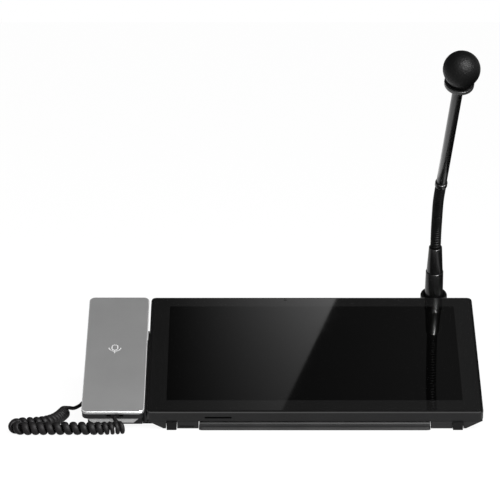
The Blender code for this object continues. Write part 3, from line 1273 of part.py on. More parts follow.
def resample(points, step):
    """Points at even steps along a polyline, both ends kept."""
    lengths = [0.0]
    for a, b in zip(points, points[1:]):
        lengths.append(lengths[-1] + (b - a).length)
    count = max(1, round(lengths[-1] / step))
    out = []
    segment = 0
    for k in range(count + 1):
        want = lengths[-1] * k / count
        while segment < len(lengths) - 2 and lengths[segment + 1] < want:
            segment += 1
        span = lengths[segment + 1] - lengths[segment]
        out.append(points[segment].lerp(points[segment + 1], (want - lengths[segment]) / span))
    return out


def coil_turns(length):
    """Curls wound by each distance along the coil's axis, its pitch as COIL_PITCH_SHARES."""
    count = math.ceil(length * COIL_TABLE_SPLITS / COIL_PITCH)
    table = [(0.0, 0.0)]
    span = 1
    for k in range(count):
        spot = k / count
        while COIL_PITCH_SHARES[span][0] < spot:
            span += 1
        (start, low), (end, high) = COIL_PITCH_SHARES[span - 1:span + 1]
        pitch = COIL_PITCH * (low + (high - low) * (spot - start) / (end - start))
        table.append((length * (k + 1) / count, table[-1][1] + length / count / pitch))
    return table


def coil_points():
    """The coil's wire: a right-handed helix round its route on the desk."""
    flat = [Vector((x, GLASS_FRONT_Y + y, COIL_AXIS_HEIGHT)) for x, y in COIL_ROUTE]
    axis = resample(smooth_curve(flat, ROUTE_SPLITS), COIL_PITCH / COIL_AXIS_SPLITS)
    lengths = [0.0]
    for a, b in zip(axis, axis[1:]):
        lengths.append(lengths[-1] + (b - a).length)
    table = coil_turns(lengths[-1])
    whole = round(table[-1][1]) + COIL_END_TURN - COIL_START_TURN
    stretch = whole / table[-1][1]
    total = round(whole * COIL_POINTS_PER_CURL)
    points = []
    outward = []
    row = 0
    spot = 0
    for k in range(total + 1):
        turn = whole * k / total
        while row < len(table) - 2 and table[row + 1][1] * stretch < turn:
            row += 1
        (s0, t0), (s1, t1) = table[row], table[row + 1]
        s = s0 + (s1 - s0) * min(1.0, (turn / stretch - t0) / (t1 - t0))
        while spot < len(lengths) - 2 and lengths[spot + 1] < s:
            spot += 1
        share = (s - lengths[spot]) / (lengths[spot + 1] - lengths[spot])
        centre = axis[spot].lerp(axis[spot + 1], min(1.0, share))
        ahead = (axis[spot + 1] - axis[spot]).normalized()
        side = ahead.cross(Vector((0, 0, 1)))
        a = 2 * math.pi * (turn + COIL_START_TURN)
        out = side * -math.cos(a) + Vector((0, 0, math.sin(a)))
        points.append(centre + COIL_RADIUS * out)
        outward.append(out)
    return points, outward, whole


def cord_ends():
    """The two faces that the cord meets, each with the direction that it leaves in."""
    back = RECESS_DEPTH - GAP - HANDSET_PLUG_DEPTH - GAP
    middle = BAND_BOTTOM + GAP + HANDSET_PLUG_TALL / 2
    y, z = on_desk(back, middle)
    start = Vector((HANDSET_X + RECESS_X, y, z))
    leave = Vector((0, -math.cos(TILT), -math.sin(TILT)))
    low = cord_socket_corners()[0]
    end = Vector((low.x - CORD_PLUG_LIP - GAP, GLASS_FRONT_Y + CORD_SOCKET_SET,
                  CORD_SOCKET_HEIGHT))
    return start, leave, end, Vector((-1, 0, 0))


def from_glass(points):
    """Route points with their y counted from the glass front edge."""
    return [Vector((x, GLASS_FRONT_Y + y, z)) for x, y, z in points]


def make_cord(mats):
    """Curly cord: a straight lead, the coil on the desk and a tail to the cradle."""
    start, leave, end, arrive = cord_ends()
    straight = 2 * CORD_RADIUS
    coil, outward, turns = coil_points()
    step = CORD_RADIUS
    lead = [start, start + leave * straight, *from_glass(LEAD_ROUTE), coil[0]]
    tail = [coil[-1], *from_glass(TAIL_ROUTE), end + arrive * straight, end]
    lead = [lead[0], *resample(smooth_curve(lead[1:], LEAD_SPLITS), step)]
    tail = [*resample(smooth_curve(tail[:-1], LEAD_SPLITS), 2 * step), tail[-1]]
    points = [*lead[:-1], *coil, *tail[1:]]
    flat = Vector((0, 0, 1))
    outward = [flat] * (len(lead) - 1) + outward + [flat] * (len(tail) - 1)
    widths = cord_widths(coil)
    round_end = [2 * CORD_RADIUS]
    widths = round_end * (len(lead) - 1) + widths + round_end * (len(tail) - 1)
    shape = bpy.data.objects.new("cord_shape", tube_curve("cord_shape", points, CORD_RADIUS, 1))
    bpy.context.scene.collection.objects.link(shape)
    mesh = mesh_of_curve(shape)
    flatten_cord(mesh, points, outward, widths)
    add_piece("curly_cord", mesh, mats["cord_black"])
    report_cord(points, outward, widths, turns)


def cord_widths(coil):
    """Width of the flat cord at each point of the coil: clear of the next curls, ends round."""
    widths = []
    for i, point in enumerate(coil):
        from_end = min(i, len(coil) - 1 - i) / COIL_POINTS_PER_CURL
        most = 2 * CORD_RADIUS + (CORD_WIDTH - 2 * CORD_RADIUS) * min(1, from_end / 0.6)
        near = min((coil[k] - point).length for k in (i - COIL_POINTS_PER_CURL,
                                                      i + COIL_POINTS_PER_CURL)
                   if 0 <= k < len(coil))
        widths.append(max(2 * CORD_RADIUS, min(most, near - CORD_SIDE_GAP)))
    return widths


def flatten_cord(mesh, points, outward, widths):
    """Draw each ring of the round tube out to the flat cord's width."""
    sides = len(mesh.vertices) // len(points)
    for i, point in enumerate(points):
        ahead = points[min(i + 1, len(points) - 1)] - points[max(i - 1, 0)]
        across = ahead.cross(outward[i]).normalized()
        grow = widths[i] / (2 * CORD_RADIUS) - 1
        for vert in mesh.vertices[i * sides:(i + 1) * sides]:
            vert.co += across * (grow * across.dot(vert.co - point))


def report_cord(points, outward, widths, turns):
    """Print the cord's length, its curls and the least gap of the flat tube to itself."""
    length = sum((b - a).length for a, b in zip(points, points[1:]))
    fine = []
    for i in range(len(points) - 1):
        ahead = points[i + 1] - points[i]
        for k in range(CORD_GAP_SPLITS):
            t = k / CORD_GAP_SPLITS
            out = outward[i].lerp(outward[i + 1], t).normalized()
            half = (widths[i] + (widths[i + 1] - widths[i]) * t) / 2
            fine.append((points[i] + ahead * t, out * CORD_RADIUS,
                         ahead.cross(out).normalized() * half))
    apart = CORD_GAP_SPLITS * (COIL_POINTS_PER_CURL // 2)
    least = min(tube_gap(a, b) for i, a in enumerate(fine) for b in fine[i + apart:])
    print("cord length %.0f mm, %.1f curls, %d points, least gap to itself %.2f mm"
          % (length / MM, turns, len(points), least / MM))


def tube_gap(a, b):
    """Gap between two flat sections, each a centre with its half thickness and half width."""
    line = b[0] - a[0]
    way = line.normalized()
    reach = sum(math.hypot(way.dot(thick), way.dot(wide)) for _, thick, wide in (a, b))
    return line.length - reach


# Whole station

def make_materials():
    """Plain finishes of the pieces."""
    return {
        "frame_black": make_material("frame_black", (0.012, 0.012, 0.013), 0.35),
        "black_glass": make_material("black_glass", (0.006, 0.006, 0.007), 0.06),
        "lens_black": make_material("lens_black", (0.004, 0.004, 0.004), 0.1),
        "panel_grey": make_material("panel_grey", (0.05, 0.05, 0.055), 0.5),
        "housing_black": make_material("housing_black", (0.016, 0.016, 0.017), 0.55),
        "foot_rubber": make_material("foot_rubber", (0.008, 0.008, 0.008), 0.8),
        "board_green": make_material("board_green", (0.02, 0.11, 0.05), 0.5),
        "base_steel": make_material("base_steel", (0.03, 0.03, 0.032), 0.5),
        "screw_steel": make_material("screw_steel", (0.45, 0.45, 0.46), 0.35, 1.0),
        "socket_metal": make_material("socket_metal", (0.35, 0.35, 0.36), 0.4, 0.8),
        "speaker_grey": make_material("speaker_grey", (0.08, 0.08, 0.085), 0.6),
        "collar_black": make_material("collar_black", (0.012, 0.012, 0.012), 0.3),
        "mic_black": make_material("mic_black", (0.014, 0.014, 0.014), 0.35),
        "hose_black": make_material("hose_black", (0.012, 0.012, 0.012), 0.45),
        "capsule_metal": make_material("capsule_metal", (0.3, 0.3, 0.31), 0.35, 1.0),
        "foam_grey": make_material("foam_grey", (0.02, 0.02, 0.021), 0.95),
        "satin_silver": make_material("satin_silver", (0.24, 0.24, 0.25), 0.4, 0.6),
        "cord_black": make_material("cord_black", (0.014, 0.013, 0.014), 0.4),
    }


def main():
    """Build the whole station."""
    clear_scene()
    mats = make_materials()
    tilt = make_empty("tilt_plane", None, (0, GLASS_FRONT_Y, GLASS_FRONT_HEIGHT), (TILT, 0, 0))
    make_frame(tilt, mats)
    make_glass(tilt, mats)
    make_display(tilt, mats)
    cover = make_cover(tilt, mats)
    make_board(tilt, mats)
    make_feet(mats)
    make_pedestal(mats)
    make_base(mats)
    make_ports(mats)
    make_speaker(mats)
    make_bracket(tilt, cover, mats)
    axis = make_mic_foot(tilt, mats)
    head = make_gooseneck(axis, mats)
    make_mic_head(head, mats)
    make_handset(tilt, mats)
    make_cradle(tilt, mats)
    make_hook_switch(tilt, mats)
    make_link(tilt, mats)
    make_cord_socket(mats)
    make_cord(mats)


main()
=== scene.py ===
"""Looks of the desk paging station: finishes for its solids, and finer pieces where they show."""
import math

import bmesh
import bpy
from mathutils import Matrix, Vector, noise

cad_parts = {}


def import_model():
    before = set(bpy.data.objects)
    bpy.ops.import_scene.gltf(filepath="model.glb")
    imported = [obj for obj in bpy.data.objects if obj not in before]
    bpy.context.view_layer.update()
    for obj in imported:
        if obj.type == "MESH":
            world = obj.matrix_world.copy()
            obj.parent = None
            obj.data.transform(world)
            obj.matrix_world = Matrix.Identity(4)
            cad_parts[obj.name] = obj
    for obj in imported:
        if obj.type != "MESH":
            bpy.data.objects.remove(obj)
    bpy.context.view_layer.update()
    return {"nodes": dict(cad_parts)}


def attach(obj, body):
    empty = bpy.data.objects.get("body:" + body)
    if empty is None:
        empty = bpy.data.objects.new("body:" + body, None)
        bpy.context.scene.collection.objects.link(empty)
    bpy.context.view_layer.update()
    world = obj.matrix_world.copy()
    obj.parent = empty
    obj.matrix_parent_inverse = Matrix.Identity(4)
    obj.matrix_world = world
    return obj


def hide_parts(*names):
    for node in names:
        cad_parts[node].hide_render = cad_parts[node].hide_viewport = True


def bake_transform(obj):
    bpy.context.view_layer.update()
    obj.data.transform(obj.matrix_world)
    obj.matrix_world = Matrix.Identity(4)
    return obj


MM = 0.001

# Slope of the glass: x across, y back along the glass, z along its normal
TILT = math.radians(25.2)
GLASS_FRONT_Y = -76.65 * MM
GLASS_FRONT_HEIGHT = 19.3 * MM
SLOPE = (Matrix.Translation((0, GLASS_FRONT_Y, GLASS_FRONT_HEIGHT))
         @ Matrix.Rotation(TILT, 4, "X"))
FRAME_LENGTH = 201.6 * MM
GLOSS_EDGE_SLOPES = (0.3, 0.95)
GAP = 0.3 * MM

# Handset
HANDSET_X = -199.5 * MM
HANDSET_WIDTH = 62.1 * MM
HANDSET_CORNER = 6 * MM
FACE_THICKNESS = 3 * MM
FACET_HEIGHT = 0.75 * MM
CORNER_STEPS = 12

# Microphone's collar and sleeves, along its axis from the glass up
TURNED_STEPS = 64
MIC_X = 127.9 * MM
MIC_BACK_SET = 14 * MM
COLLAR_FOOT = -19 * MM
COLLAR_TOP = -4.8 * MM
COLLAR_RADIUS = 13.9 * MM
COLLAR_BORE = 10.1 * MM
SLEEVE_TOP = 23.6 * MM
SLEEVE_FOOT_RADIUS = 9.7 * MM
SLEEVE_TOP_RADIUS = 9.1 * MM
SLEEVE_BORE = 3.2 * MM
TAPER_FOOT = SLEEVE_TOP + GAP
TAPER_TOP = 53.4 * MM
TAPER_FOOT_RADIUS = 8.45 * MM
TAPER_TOP_RADIUS = 6.8 * MM

# Hose, in two halves of one size
HOSE_HALF = 44.4 * MM
HOSE_STRAIGHT = 10.3 * MM
NOD_BEND = math.radians(16.8)
SWAY_BEND = math.radians(4.05)
HOSE_RIBS = 15
HOSE_ROWS_PER_RIB = 12
HOSE_SIDES = 40
HOSE_LOW = 4.75 * MM
HOSE_RIB = 0.85 * MM
HOSE_RIB_ROUNDNESS = 0.7

# Ring, tube, cup and foam ball, along the head's axis from the hose's end up
RING_LENGTH = 5.6 * MM
RING_RADIUS = 6.3 * MM
TUBE_FOOT = RING_LENGTH + GAP
TUBE_TOP = TUBE_FOOT + 135 * MM
TUBE_RADIUS = 5.3 * MM
TUBE_BORE = 3.6 * MM
NECK_FOOT = TUBE_TOP + GAP
NECK_FOOT_RADIUS = 5.5 * MM
NECK_TOP_RADIUS = 7.6 * MM
CUP_FOOT = NECK_FOOT + 9 * MM
CUP_FLOOR = CUP_FOOT + 1.6 * MM
CUP_RIM = CUP_FOOT + 4.2 * MM
CUP_RADIUS = 14.8 * MM
CUP_BORE = 11.6 * MM
CUP_STEP = CUP_RIM - 0.8 * MM
FOAM_RADIUS = 18.3 * MM
FOAM_CENTRE = CUP_RIM + 17.4 * MM
FOAM_NECK = 11.3 * MM
FOAM_NECK_RISE = 5.4 * MM
FOAM_FLAT_SHARE = 0.6
FOAM_CELL = 1.2 * MM
FOAM_RELIEF = 0.3 * MM

# Curly cord; the routes repeat those of the solid, in metres
CORD_RADIUS = 1.9 * MM
CORD_WIDTH = 6.4 * MM
CORD_SIDE_GAP = 0.9 * MM
COIL_RADIUS = 4.7 * MM
COIL_AXIS_HEIGHT = 6.65 * MM
COIL_PITCH = 6.6 * MM
COIL_PITCH_SHARES = [(0, 0.74), (0.06, 0.78), (0.1, 0.98), (0.15, 1.2), (0.2, 1.28), (0.36, 1.28),
                     (0.41, 1.1), (0.46, 1.2), (0.6, 1.2), (0.7, 0.94), (0.92, 0.98), (1, 1.3)]
COIL_ROUTE = [
    (-189.4 * MM, -15.0 * MM), (-196.0 * MM, -17.4 * MM), (-205.0 * MM, -19.2 * MM),
    (-222.0 * MM, -19.8 * MM), (-240.0 * MM, -19.8 * MM), (-258.0 * MM, -19.9 * MM),
    (-272.0 * MM, -20.2 * MM), (-282.0 * MM, -20.5 * MM), (-289.6 * MM, -18.8 * MM),
    (-294.4 * MM, -13.4 * MM), (-295.6 * MM, -7.0 * MM), (-292.8 * MM, -0.6 * MM),
    (-286.6 * MM, 3.0 * MM), (-279.0 * MM, 4.4 * MM), (-271.0 * MM, 7.4 * MM),
    (-263.6 * MM, 14.0 * MM), (-258.2 * MM, 24.6 * MM), (-254.6 * MM, 38.0 * MM),
    (-252.2 * MM, 52.0 * MM), (-250.6 * MM, 63.0 * MM),
]
LEAD_ROUTE = [
    (-193.4 * MM, -4.8 * MM, 8.2 * MM), (-190.9 * MM, -7.8 * MM, 4.6 * MM),
    (-190.0 * MM, -11.0 * MM, 2.5 * MM),
]
TAIL_ROUTE = [
    (-245.8 * MM, 63.6 * MM, 11.0 * MM), (-242.4 * MM, 68.4 * MM, 9.6 * MM),
    (-240.2 * MM, 75.4 * MM, 8.9 * MM), (-238.0 * MM, 83.4 * MM, 8.6 * MM),
    (-236.0 * MM, 91.0 * MM, 8.7 * MM), (-234.6 * MM, 98.0 * MM, 9.2 * MM),
    (-232.8 * MM, 102.8 * MM, 9.8 * MM),
]
POINTS_PER_CURL = 28
ROUTE_SPLITS = 12
LEAD_SPLITS = 8
AXIS_STEPS_PER_CURL = 20
TURN_STEPS_PER_CURL = 50
CORD_SIDES = 16
ROUND_END_SHARE = 0.6
LEAD_CURLS = 6
CORD_EXIT_X = -197.4 * MM
CORD_EXIT_BACK = -0.1 * MM
CORD_EXIT_DROP = -6.6 * MM
PLUG_FACE_X = -227.15 * MM
PLUG_SET_BACK = 106 * MM
PLUG_HEIGHT = 10 * MM

# Display window and the printed sign, as thin films
WINDOW_WIDTH = 293.8 * MM
WINDOW_START = 19.3 * MM
WINDOW_LENGTH = 165.2 * MM
WINDOW_CORNER = 0.4 * MM
FILM_FOOT = 0.005 * MM
FILM_TOP = 0.03 * MM
SIGN_X = -201.1 * MM
SIGN_BACK = 109.9 * MM
SIGN_SET = 0.01 * MM
SIGN_INK = 0.04 * MM
SIGN_LINE = 0.95 * MM
SIGN_HEAD = 2.9 * MM
SIGN_HEAD_TOP = 2 * MM
SIGN_HEAD_FOOT = -1.2 * MM
SIGN_BOW = 6.0 * MM
SIGN_STEM = 3.2 * MM

# Camera over the desk, its place in metres
EYE_PLACE = (-0.0640, -3.0801, 0.6024)
EYE_PITCH = math.radians(82)
EYE_LENS = 223.2
EYE_SENSOR = 36

# Levels of the world and the floor, where 1 is white
CEILING = 0.04
SKY_LEVEL = 0.45
SKY_FADE = (0.3, 0.5)
SIDE_REACH = 0.3
SIDE_LEVELS = (0.22, 0.8)
FLOOR_GLOW = 1.06
FLOOR_GLOW_SHARE = 0.88
FLOOR_HALF = 6
FLAG_LOW = (0.3, -1.2, 0.0005)
FLAG_HIGH = (2.0, 1.6, 0.0015)

# Glare card over the glass, laid out where the camera sees it mirrored; levels of its glow
GLARE_LIFT = 0.9
GLARE_HALF_WIDTH = 0.30
GLARE_FRONT = -0.05
GLARE_REAR = 0.30
GLARE_SET = 0.158
GLARE_SCALE = 10.0
GLARE_STEEPNESS = 1.65
GLARE_FADE = 0.215
GLARE_GAIN = 0.168
GLARE_BASE = 0.022
GLARE_SLANT = 0.2954
GLARE_SLANT_SET = -0.0332
SHADE_LEVELS = (0.041, 0.081)
SHADE_SPAN = 0.13


# Helpers for finishes

BROAD_PATCH = 45 * MM


def from_hex(code):
    """Linear colour of an sRGB hex value."""
    channels = [int(code[i:i + 2], 16) / 255 for i in (0, 2, 4)]
    return (*[c / 12.92 if c <= 0.04045 else ((c + 0.055) / 1.055) ** 2.4 for c in channels], 1.0)


def add_node(tree, kind, inputs=None, **settings):
    """Add a shader node with its settings; inputs hold values or other nodes' outputs."""
    made = tree.nodes.new("ShaderNode" + kind)
    for name, value in settings.items():
        setattr(made, name, value)
    for key, value in (inputs or {}).items():
        if isinstance(value, bpy.types.NodeSocket):
            tree.links.new(value, made.inputs[key])
        else:
            made.inputs[key].default_value = value
    return made


def start_material(name, roughness, metallic=0.0, shine=0.5):
    """A new material with its tree, its shader and its Object coordinates."""
    mat = bpy.data.materials.new(name)
    mat.use_nodes = True
    shader = mat.node_tree.nodes["Principled BSDF"]
    shader.inputs["Roughness"].default_value = roughness
    shader.inputs["Metallic"].default_value = metallic
    shader.inputs["IOR"].default_value = 1.5
    shader.inputs["Specular IOR Level"].default_value = shine
    place = add_node(mat.node_tree, "TexCoord").outputs["Object"]
    return mat, mat.node_tree, shader, place


def grain(tree, shader, place, size, depth, dark, light, rough, stretch=(1, 1, 1)):
    """Give a shader a fine grain: size apart, depth high, between two colours and roughnesses."""
    spread = add_node(tree, "Mapping", {"Vector": place, "Scale": stretch}).outputs["Vector"]
    fine = add_node(tree, "TexNoise", {"Vector": spread, "Scale": 1 / size, "Detail": 4.0})
    broad = add_node(tree, "TexNoise", {"Vector": place, "Scale": 1 / BROAD_PATCH, "Detail": 3.0})
    both = add_node(tree, "Math", {0: fine.outputs["Fac"], 1: broad.outputs["Fac"]},
                    operation="MULTIPLY")
    tint = add_node(tree, "MapRange", {"Value": both.outputs[0], "From Min": 0.12, "From Max": 0.4})
    colour = add_node(tree, "Mix", {0: tint.outputs[0], 6: from_hex(dark), 7: from_hex(light)},
                      data_type="RGBA")
    tree.links.new(colour.outputs[2], shader.inputs["Base Color"])
    gloss = add_node(tree, "MapRange", {"Value": broad.outputs["Fac"], "From Min": 0.3,
                                        "From Max": 0.7, "To Min": rough[0], "To Max": rough[1]})
    tree.links.new(gloss.outputs[0], shader.inputs["Roughness"])
    bump = add_node(tree, "Bump", {"Height": fine.outputs["Fac"], "Distance": depth,
                                   "Strength": 0.6})
    tree.links.new(bump.outputs["Normal"], shader.inputs["Normal"])


# Finishes

def moulded_finish(name, dark, light, rough, size=0.55 * MM, shine=0.3):
    """Moulded surface with the mould's fine grain: a soft broken sheen and no mirror image."""
    mat, tree, shader, place = start_material(name, rough[0], shine=shine)
    grain(tree, shader, place, size, 0.03 * MM, dark, light, rough)
    return mat


def coated_finish(name, dark, light, rough, shine=0.3):
    """Paint, lacquer, powder or ink: even colour with a faint orange peel."""
    mat, tree, shader, place = start_material(name, rough[0], shine=shine)
    grain(tree, shader, place, 1.1 * MM, 0.012 * MM, dark, light, rough)
    return mat


def silver_paint():
    """Metallic paint on ABS: fine aluminium flakes that sparkle a little and glow evenly."""
    mat, tree, shader, place = start_material("silver_metallic_paint", 0.42, 0.55)
    grain(tree, shader, place, 0.45 * MM, 0.01 * MM, "9b9b9b", "a0a0a0", (0.42, 0.44))
    return mat


def painted_highlight_chamfer():
    """Bright cut edge under clear lacquer: partly bright metal, partly a painted highlight, its
    pale colour lighting the edge from every side.
    """
    mat, tree, shader, place = start_material("cut_edge_with_painted_highlight", 0.22, 0.4)
    # Painted highlight: a near-white colour on a part-metal facet, so the edge line shows bright
    # whichever way the light falls
    grain(tree, shader, place, 0.5 * MM, 0.004 * MM, "dededf", "f0f0f0", (0.2, 0.26), (1, 6, 6))
    return mat


def cover_glass(name, ink):
    """Float glass over black: a clean mirror of the studio with faint wiping marks."""
    mat, tree, shader, place = start_material(name, 0.03)
    smear = add_node(tree, "TexNoise", {"Vector": place, "Scale": 1 / (30 * MM), "Detail": 4.0})
    gloss = add_node(tree, "MapRange", {"Value": smear.outputs["Fac"], "To Min": 0.012,
                                        "To Max": 0.05})
    tree.links.new(gloss.outputs[0], shader.inputs["Roughness"])
    tint = add_node(tree, "Mix", {0: smear.outputs["Fac"], 6: from_hex(ink[0]),
                                  7: from_hex(ink[1])}, data_type="RGBA")
    tree.links.new(tint.outputs[2], shader.inputs["Base Color"])
    return mat


def foam():
    """Open-cell polyurethane foam: matt, its cells drawn 1.1 mm apart so that they show, with
    painted shade darkening each cell's hollow.
    """
    mat, tree, shader, place = start_material("open_cell_foam", 0.5, shine=0.06)
    cells = add_node(tree, "TexVoronoi", {"Vector": place, "Scale": 1 / (1.1 * MM)})
    # Painted shade: each cell's colour darkens toward its sunken middle
    pore_shade = add_node(tree, "MapRange", {"Value": cells.outputs["Distance"], "From Max": 0.55})
    colour = add_node(tree, "Mix", {0: pore_shade.outputs[0], 6: from_hex("060606"),
                                    7: from_hex("0c0c0c")}, data_type="RGBA")
    tree.links.new(colour.outputs[2], shader.inputs["Base Color"])
    bump = add_node(tree, "Bump", {"Height": cells.outputs["Distance"], "Distance": 0.5 * MM,
                                   "Strength": 0.4})
    tree.links.new(bump.outputs["Normal"], shader.inputs["Normal"])
    return mat


def cord_jacket():
    """Extruded polyurethane jacket: smooth and rubbery, with a soft long highlight."""
    mat, tree, shader, place = start_material("polyurethane_jacket", 0.6, shine=0.12)
    grain(tree, shader, place, 0.7 * MM, 0.008 * MM, "100f10", "181617", (0.58, 0.66))
    return mat


def plain_metal(name, dark, light, rough, stretch=(1, 1, 1)):
    """Bare plated or turned metal with fine tool lines."""
    mat, tree, shader, place = start_material(name, rough[0], 1.0)
    grain(tree, shader, place, 0.4 * MM, 0.006 * MM, dark, light, rough, stretch)
    return mat


def make_finishes():
    """All finishes by the names of the record's material slots, and a few of their own."""
    return {
        # Sprayed metal frame: near black, with a narrow soft band of light
        "frame_black": coated_finish("satin_black_paint", "0e0e0e", "131314", (0.3, 0.36),
                                     0.22),
        # Its eased edge, rubbed to a gloss: a thin bright line under the glass
        "rim": coated_finish("gloss_black_edge", "0a0a0a", "0e0e0e", (0.12, 0.16), 0.8),
        # Glass printed black from behind, a shade lighter than the dark display
        "black_glass": cover_glass("printed_border_glass", ("131313", "151515")),
        "display_glass": cover_glass("display_window_glass", ("030303", "040404")),
        # Smoked lens: a dark polished dot
        "lens_black": moulded_finish("smoked_lens", "040404", "080808", (0.08, 0.12)),
        # Moulded ABS of the housing and the socket panel: matt, with a dull broken sheen
        "housing_black": moulded_finish("moulded_black_abs", "101010", "171718", (0.42, 0.52),
                                        shine=0.2),
        "panel_grey": moulded_finish("moulded_grey_abs", "2a2a2c", "343436", (0.5, 0.6)),
        # Moulded rubber: almost no sheen on the feet, and a faint one on the hose
        "foot_rubber": moulded_finish("moulded_rubber", "080808", "0d0d0d", (0.75, 0.85),
                                      0.4 * MM, 0.08),
        "hose_black": moulded_finish("black_hose_rubber", "070707", "0c0c0c", (0.42, 0.5),
                                     0.6 * MM, 0.06),
        # Solder mask over copper: even green with a soft gloss
        "board_green": coated_finish("solder_mask", "0d3a22", "12492c", (0.35, 0.45)),
        # Powder coat on sheet steel: matt and a little uneven
        "base_steel": coated_finish("black_powder_coat", "1a1a1a", "242424", (0.45, 0.55)),
        # Plated and turned metals: grey mirrors blurred by fine lines
        "screw_steel": plain_metal("zinc_plated_steel", "a8a8a6", "c4c4c0", (0.3, 0.4)),
        "socket_metal": plain_metal("nickel_plated_shell", "8f8f8d", "a9a9a6", (0.28, 0.36)),
        "capsule_metal": plain_metal("turned_aluminium", "a0a0a2", "bcbcbe", (0.25, 0.35)),
        "gold": plain_metal("gold_plated_contact", "c9a24a", "dcb65e", (0.2, 0.3)),
        # Pressed paper of the loudspeaker's cone: dark grey and dull
        "speaker_grey": moulded_finish("pressed_speaker_paper", "2c2c2d", "393939", (0.7, 0.8)),
        # Lacquers on the microphone: glossy collar, satin sleeves and tube, paler cup
        "collar_black": coated_finish("gloss_black_collar", "0c0c0c", "121212", (0.16, 0.22)),
        "mic_black": coated_finish("satin_black_lacquer", "0a0a0a", "101010", (0.24, 0.3), 0.4),
        "cup_grey": coated_finish("dark_grey_lacquer", "2e2e2e", "343434", (0.3, 0.38), 0.2),
        "foam_grey": foam(),
        "satin_silver": silver_paint(),
        "chamfer": painted_highlight_chamfer(),
        # Screen-printed ink: flat pale grey against the silver
        "glyph": coated_finish("pale_grey_print", "dadada", "e2e2e2", (0.4, 0.5)),
        "cord_black": cord_jacket(),
    }


# Cord

def smooth_curve(points, per_span):
    """A Catmull-Rom curve through the points."""
    knots = [2 * points[0] - points[1], *points, 2 * points[-1] - points[-2]]
    out = []
    for i in range(1, len(knots) - 2):
        a, b, c, d = knots[i - 1:i + 3]
        for k in range(per_span):
            t = k / per_span
            out.append(0.5 * (2 * b + (c - a) * t + (2 * a - 5 * b + 4 * c - d) * t ** 2
                              + (3 * b - a - 3 * c + d) * t ** 3))
    out.append(knots[-2])
    return out


def run_lengths(points):
    """Distance of each point along a polyline."""
    lengths = [0.0]
    for a, b in zip(points, points[1:]):
        lengths.append(lengths[-1] + (b - a).length)
    return lengths


def resample(points, step):
    """Points at even steps along a polyline, both ends kept."""
    lengths = run_lengths(points)
    count = max(1, round(lengths[-1] / step))
    out = []
    segment = 0
    for k in range(count + 1):
        want = lengths[-1] * k / count
        while segment < len(lengths) - 2 and lengths[segment + 1] < want:
            segment += 1
        span = lengths[segment + 1] - lengths[segment]
        out.append(points[segment].lerp(points[segment + 1], (want - lengths[segment]) / span))
    return out


def from_glass(points):
    """Route points with their y counted from the glass front edge."""
    return [Vector((x, GLASS_FRONT_Y + y, z)) for x, y, z in points]


def coil_turns(length):
    """Curls wound by each distance along the coil's axis, its pitch as COIL_PITCH_SHARES."""
    count = math.ceil(length * TURN_STEPS_PER_CURL / COIL_PITCH)
    table = [(0.0, 0.0)]
    span = 1
    for k in range(count):
        spot = k / count
        while COIL_PITCH_SHARES[span][0] < spot:
            span += 1
        (start, low), (end, high) = COIL_PITCH_SHARES[span - 1:span + 1]
        pitch = COIL_PITCH * (low + (high - low) * (spot - start) / (end - start))
        table.append((length * (k + 1) / count, table[-1][1] + length / count / pitch))
    return table


def coil_points():
    """The coil's wire: a right-handed helix round its route on the desk."""
    flat = from_glass([(x, y, COIL_AXIS_HEIGHT) for x, y in COIL_ROUTE])
    axis = resample(smooth_curve(flat, ROUTE_SPLITS), COIL_PITCH / AXIS_STEPS_PER_CURL)
    lengths = run_lengths(axis)
    table = coil_turns(lengths[-1])
    whole = round(table[-1][1]) + 0.5
    stretch = whole / table[-1][1]
    total = round(whole * POINTS_PER_CURL)
    points = []
    outward = []
    row = spot = 0
    for k in range(total + 1):
        turn = whole * k / total
        while row < len(table) - 2 and table[row + 1][1] * stretch < turn:
            row += 1
        (s0, t0), (s1, t1) = table[row], table[row + 1]
        s = s0 + (s1 - s0) * min(1.0, (turn / stretch - t0) / (t1 - t0))
        while spot < len(lengths) - 2 and lengths[spot + 1] < s:
            spot += 1
        share = (s - lengths[spot]) / (lengths[spot + 1] - lengths[spot])
        centre = axis[spot].lerp(axis[spot + 1], min(1.0, share))
        side = (axis[spot + 1] - axis[spot]).normalized().cross(Vector((0, 0, 1)))
        a = 2 * math.pi * (turn - 0.25)
        out = side * -math.cos(a) + Vector((0, 0, math.sin(a)))
        points.append(centre + COIL_RADIUS * out)
        outward.append(out)
    return points, outward


def cord_widths(coil):
    """Width of the flat cord at each point of the coil: clear of the next curls, ends round."""
    widths = []
    for i, point in enumerate(coil):
        from_end = min(i, len(coil) - 1 - i) / POINTS_PER_CURL
        most = 2 * CORD_RADIUS + ((CORD_WIDTH - 2 * CORD_RADIUS)
                                  * min(1, from_end / ROUND_END_SHARE))
        near = min((coil[k] - point).length for k in (i - POINTS_PER_CURL, i + POINTS_PER_CURL)
                   if 0 <= k < len(coil))
        widths.append(max(2 * CORD_RADIUS, min(most, near - CORD_SIDE_GAP)))
    return widths


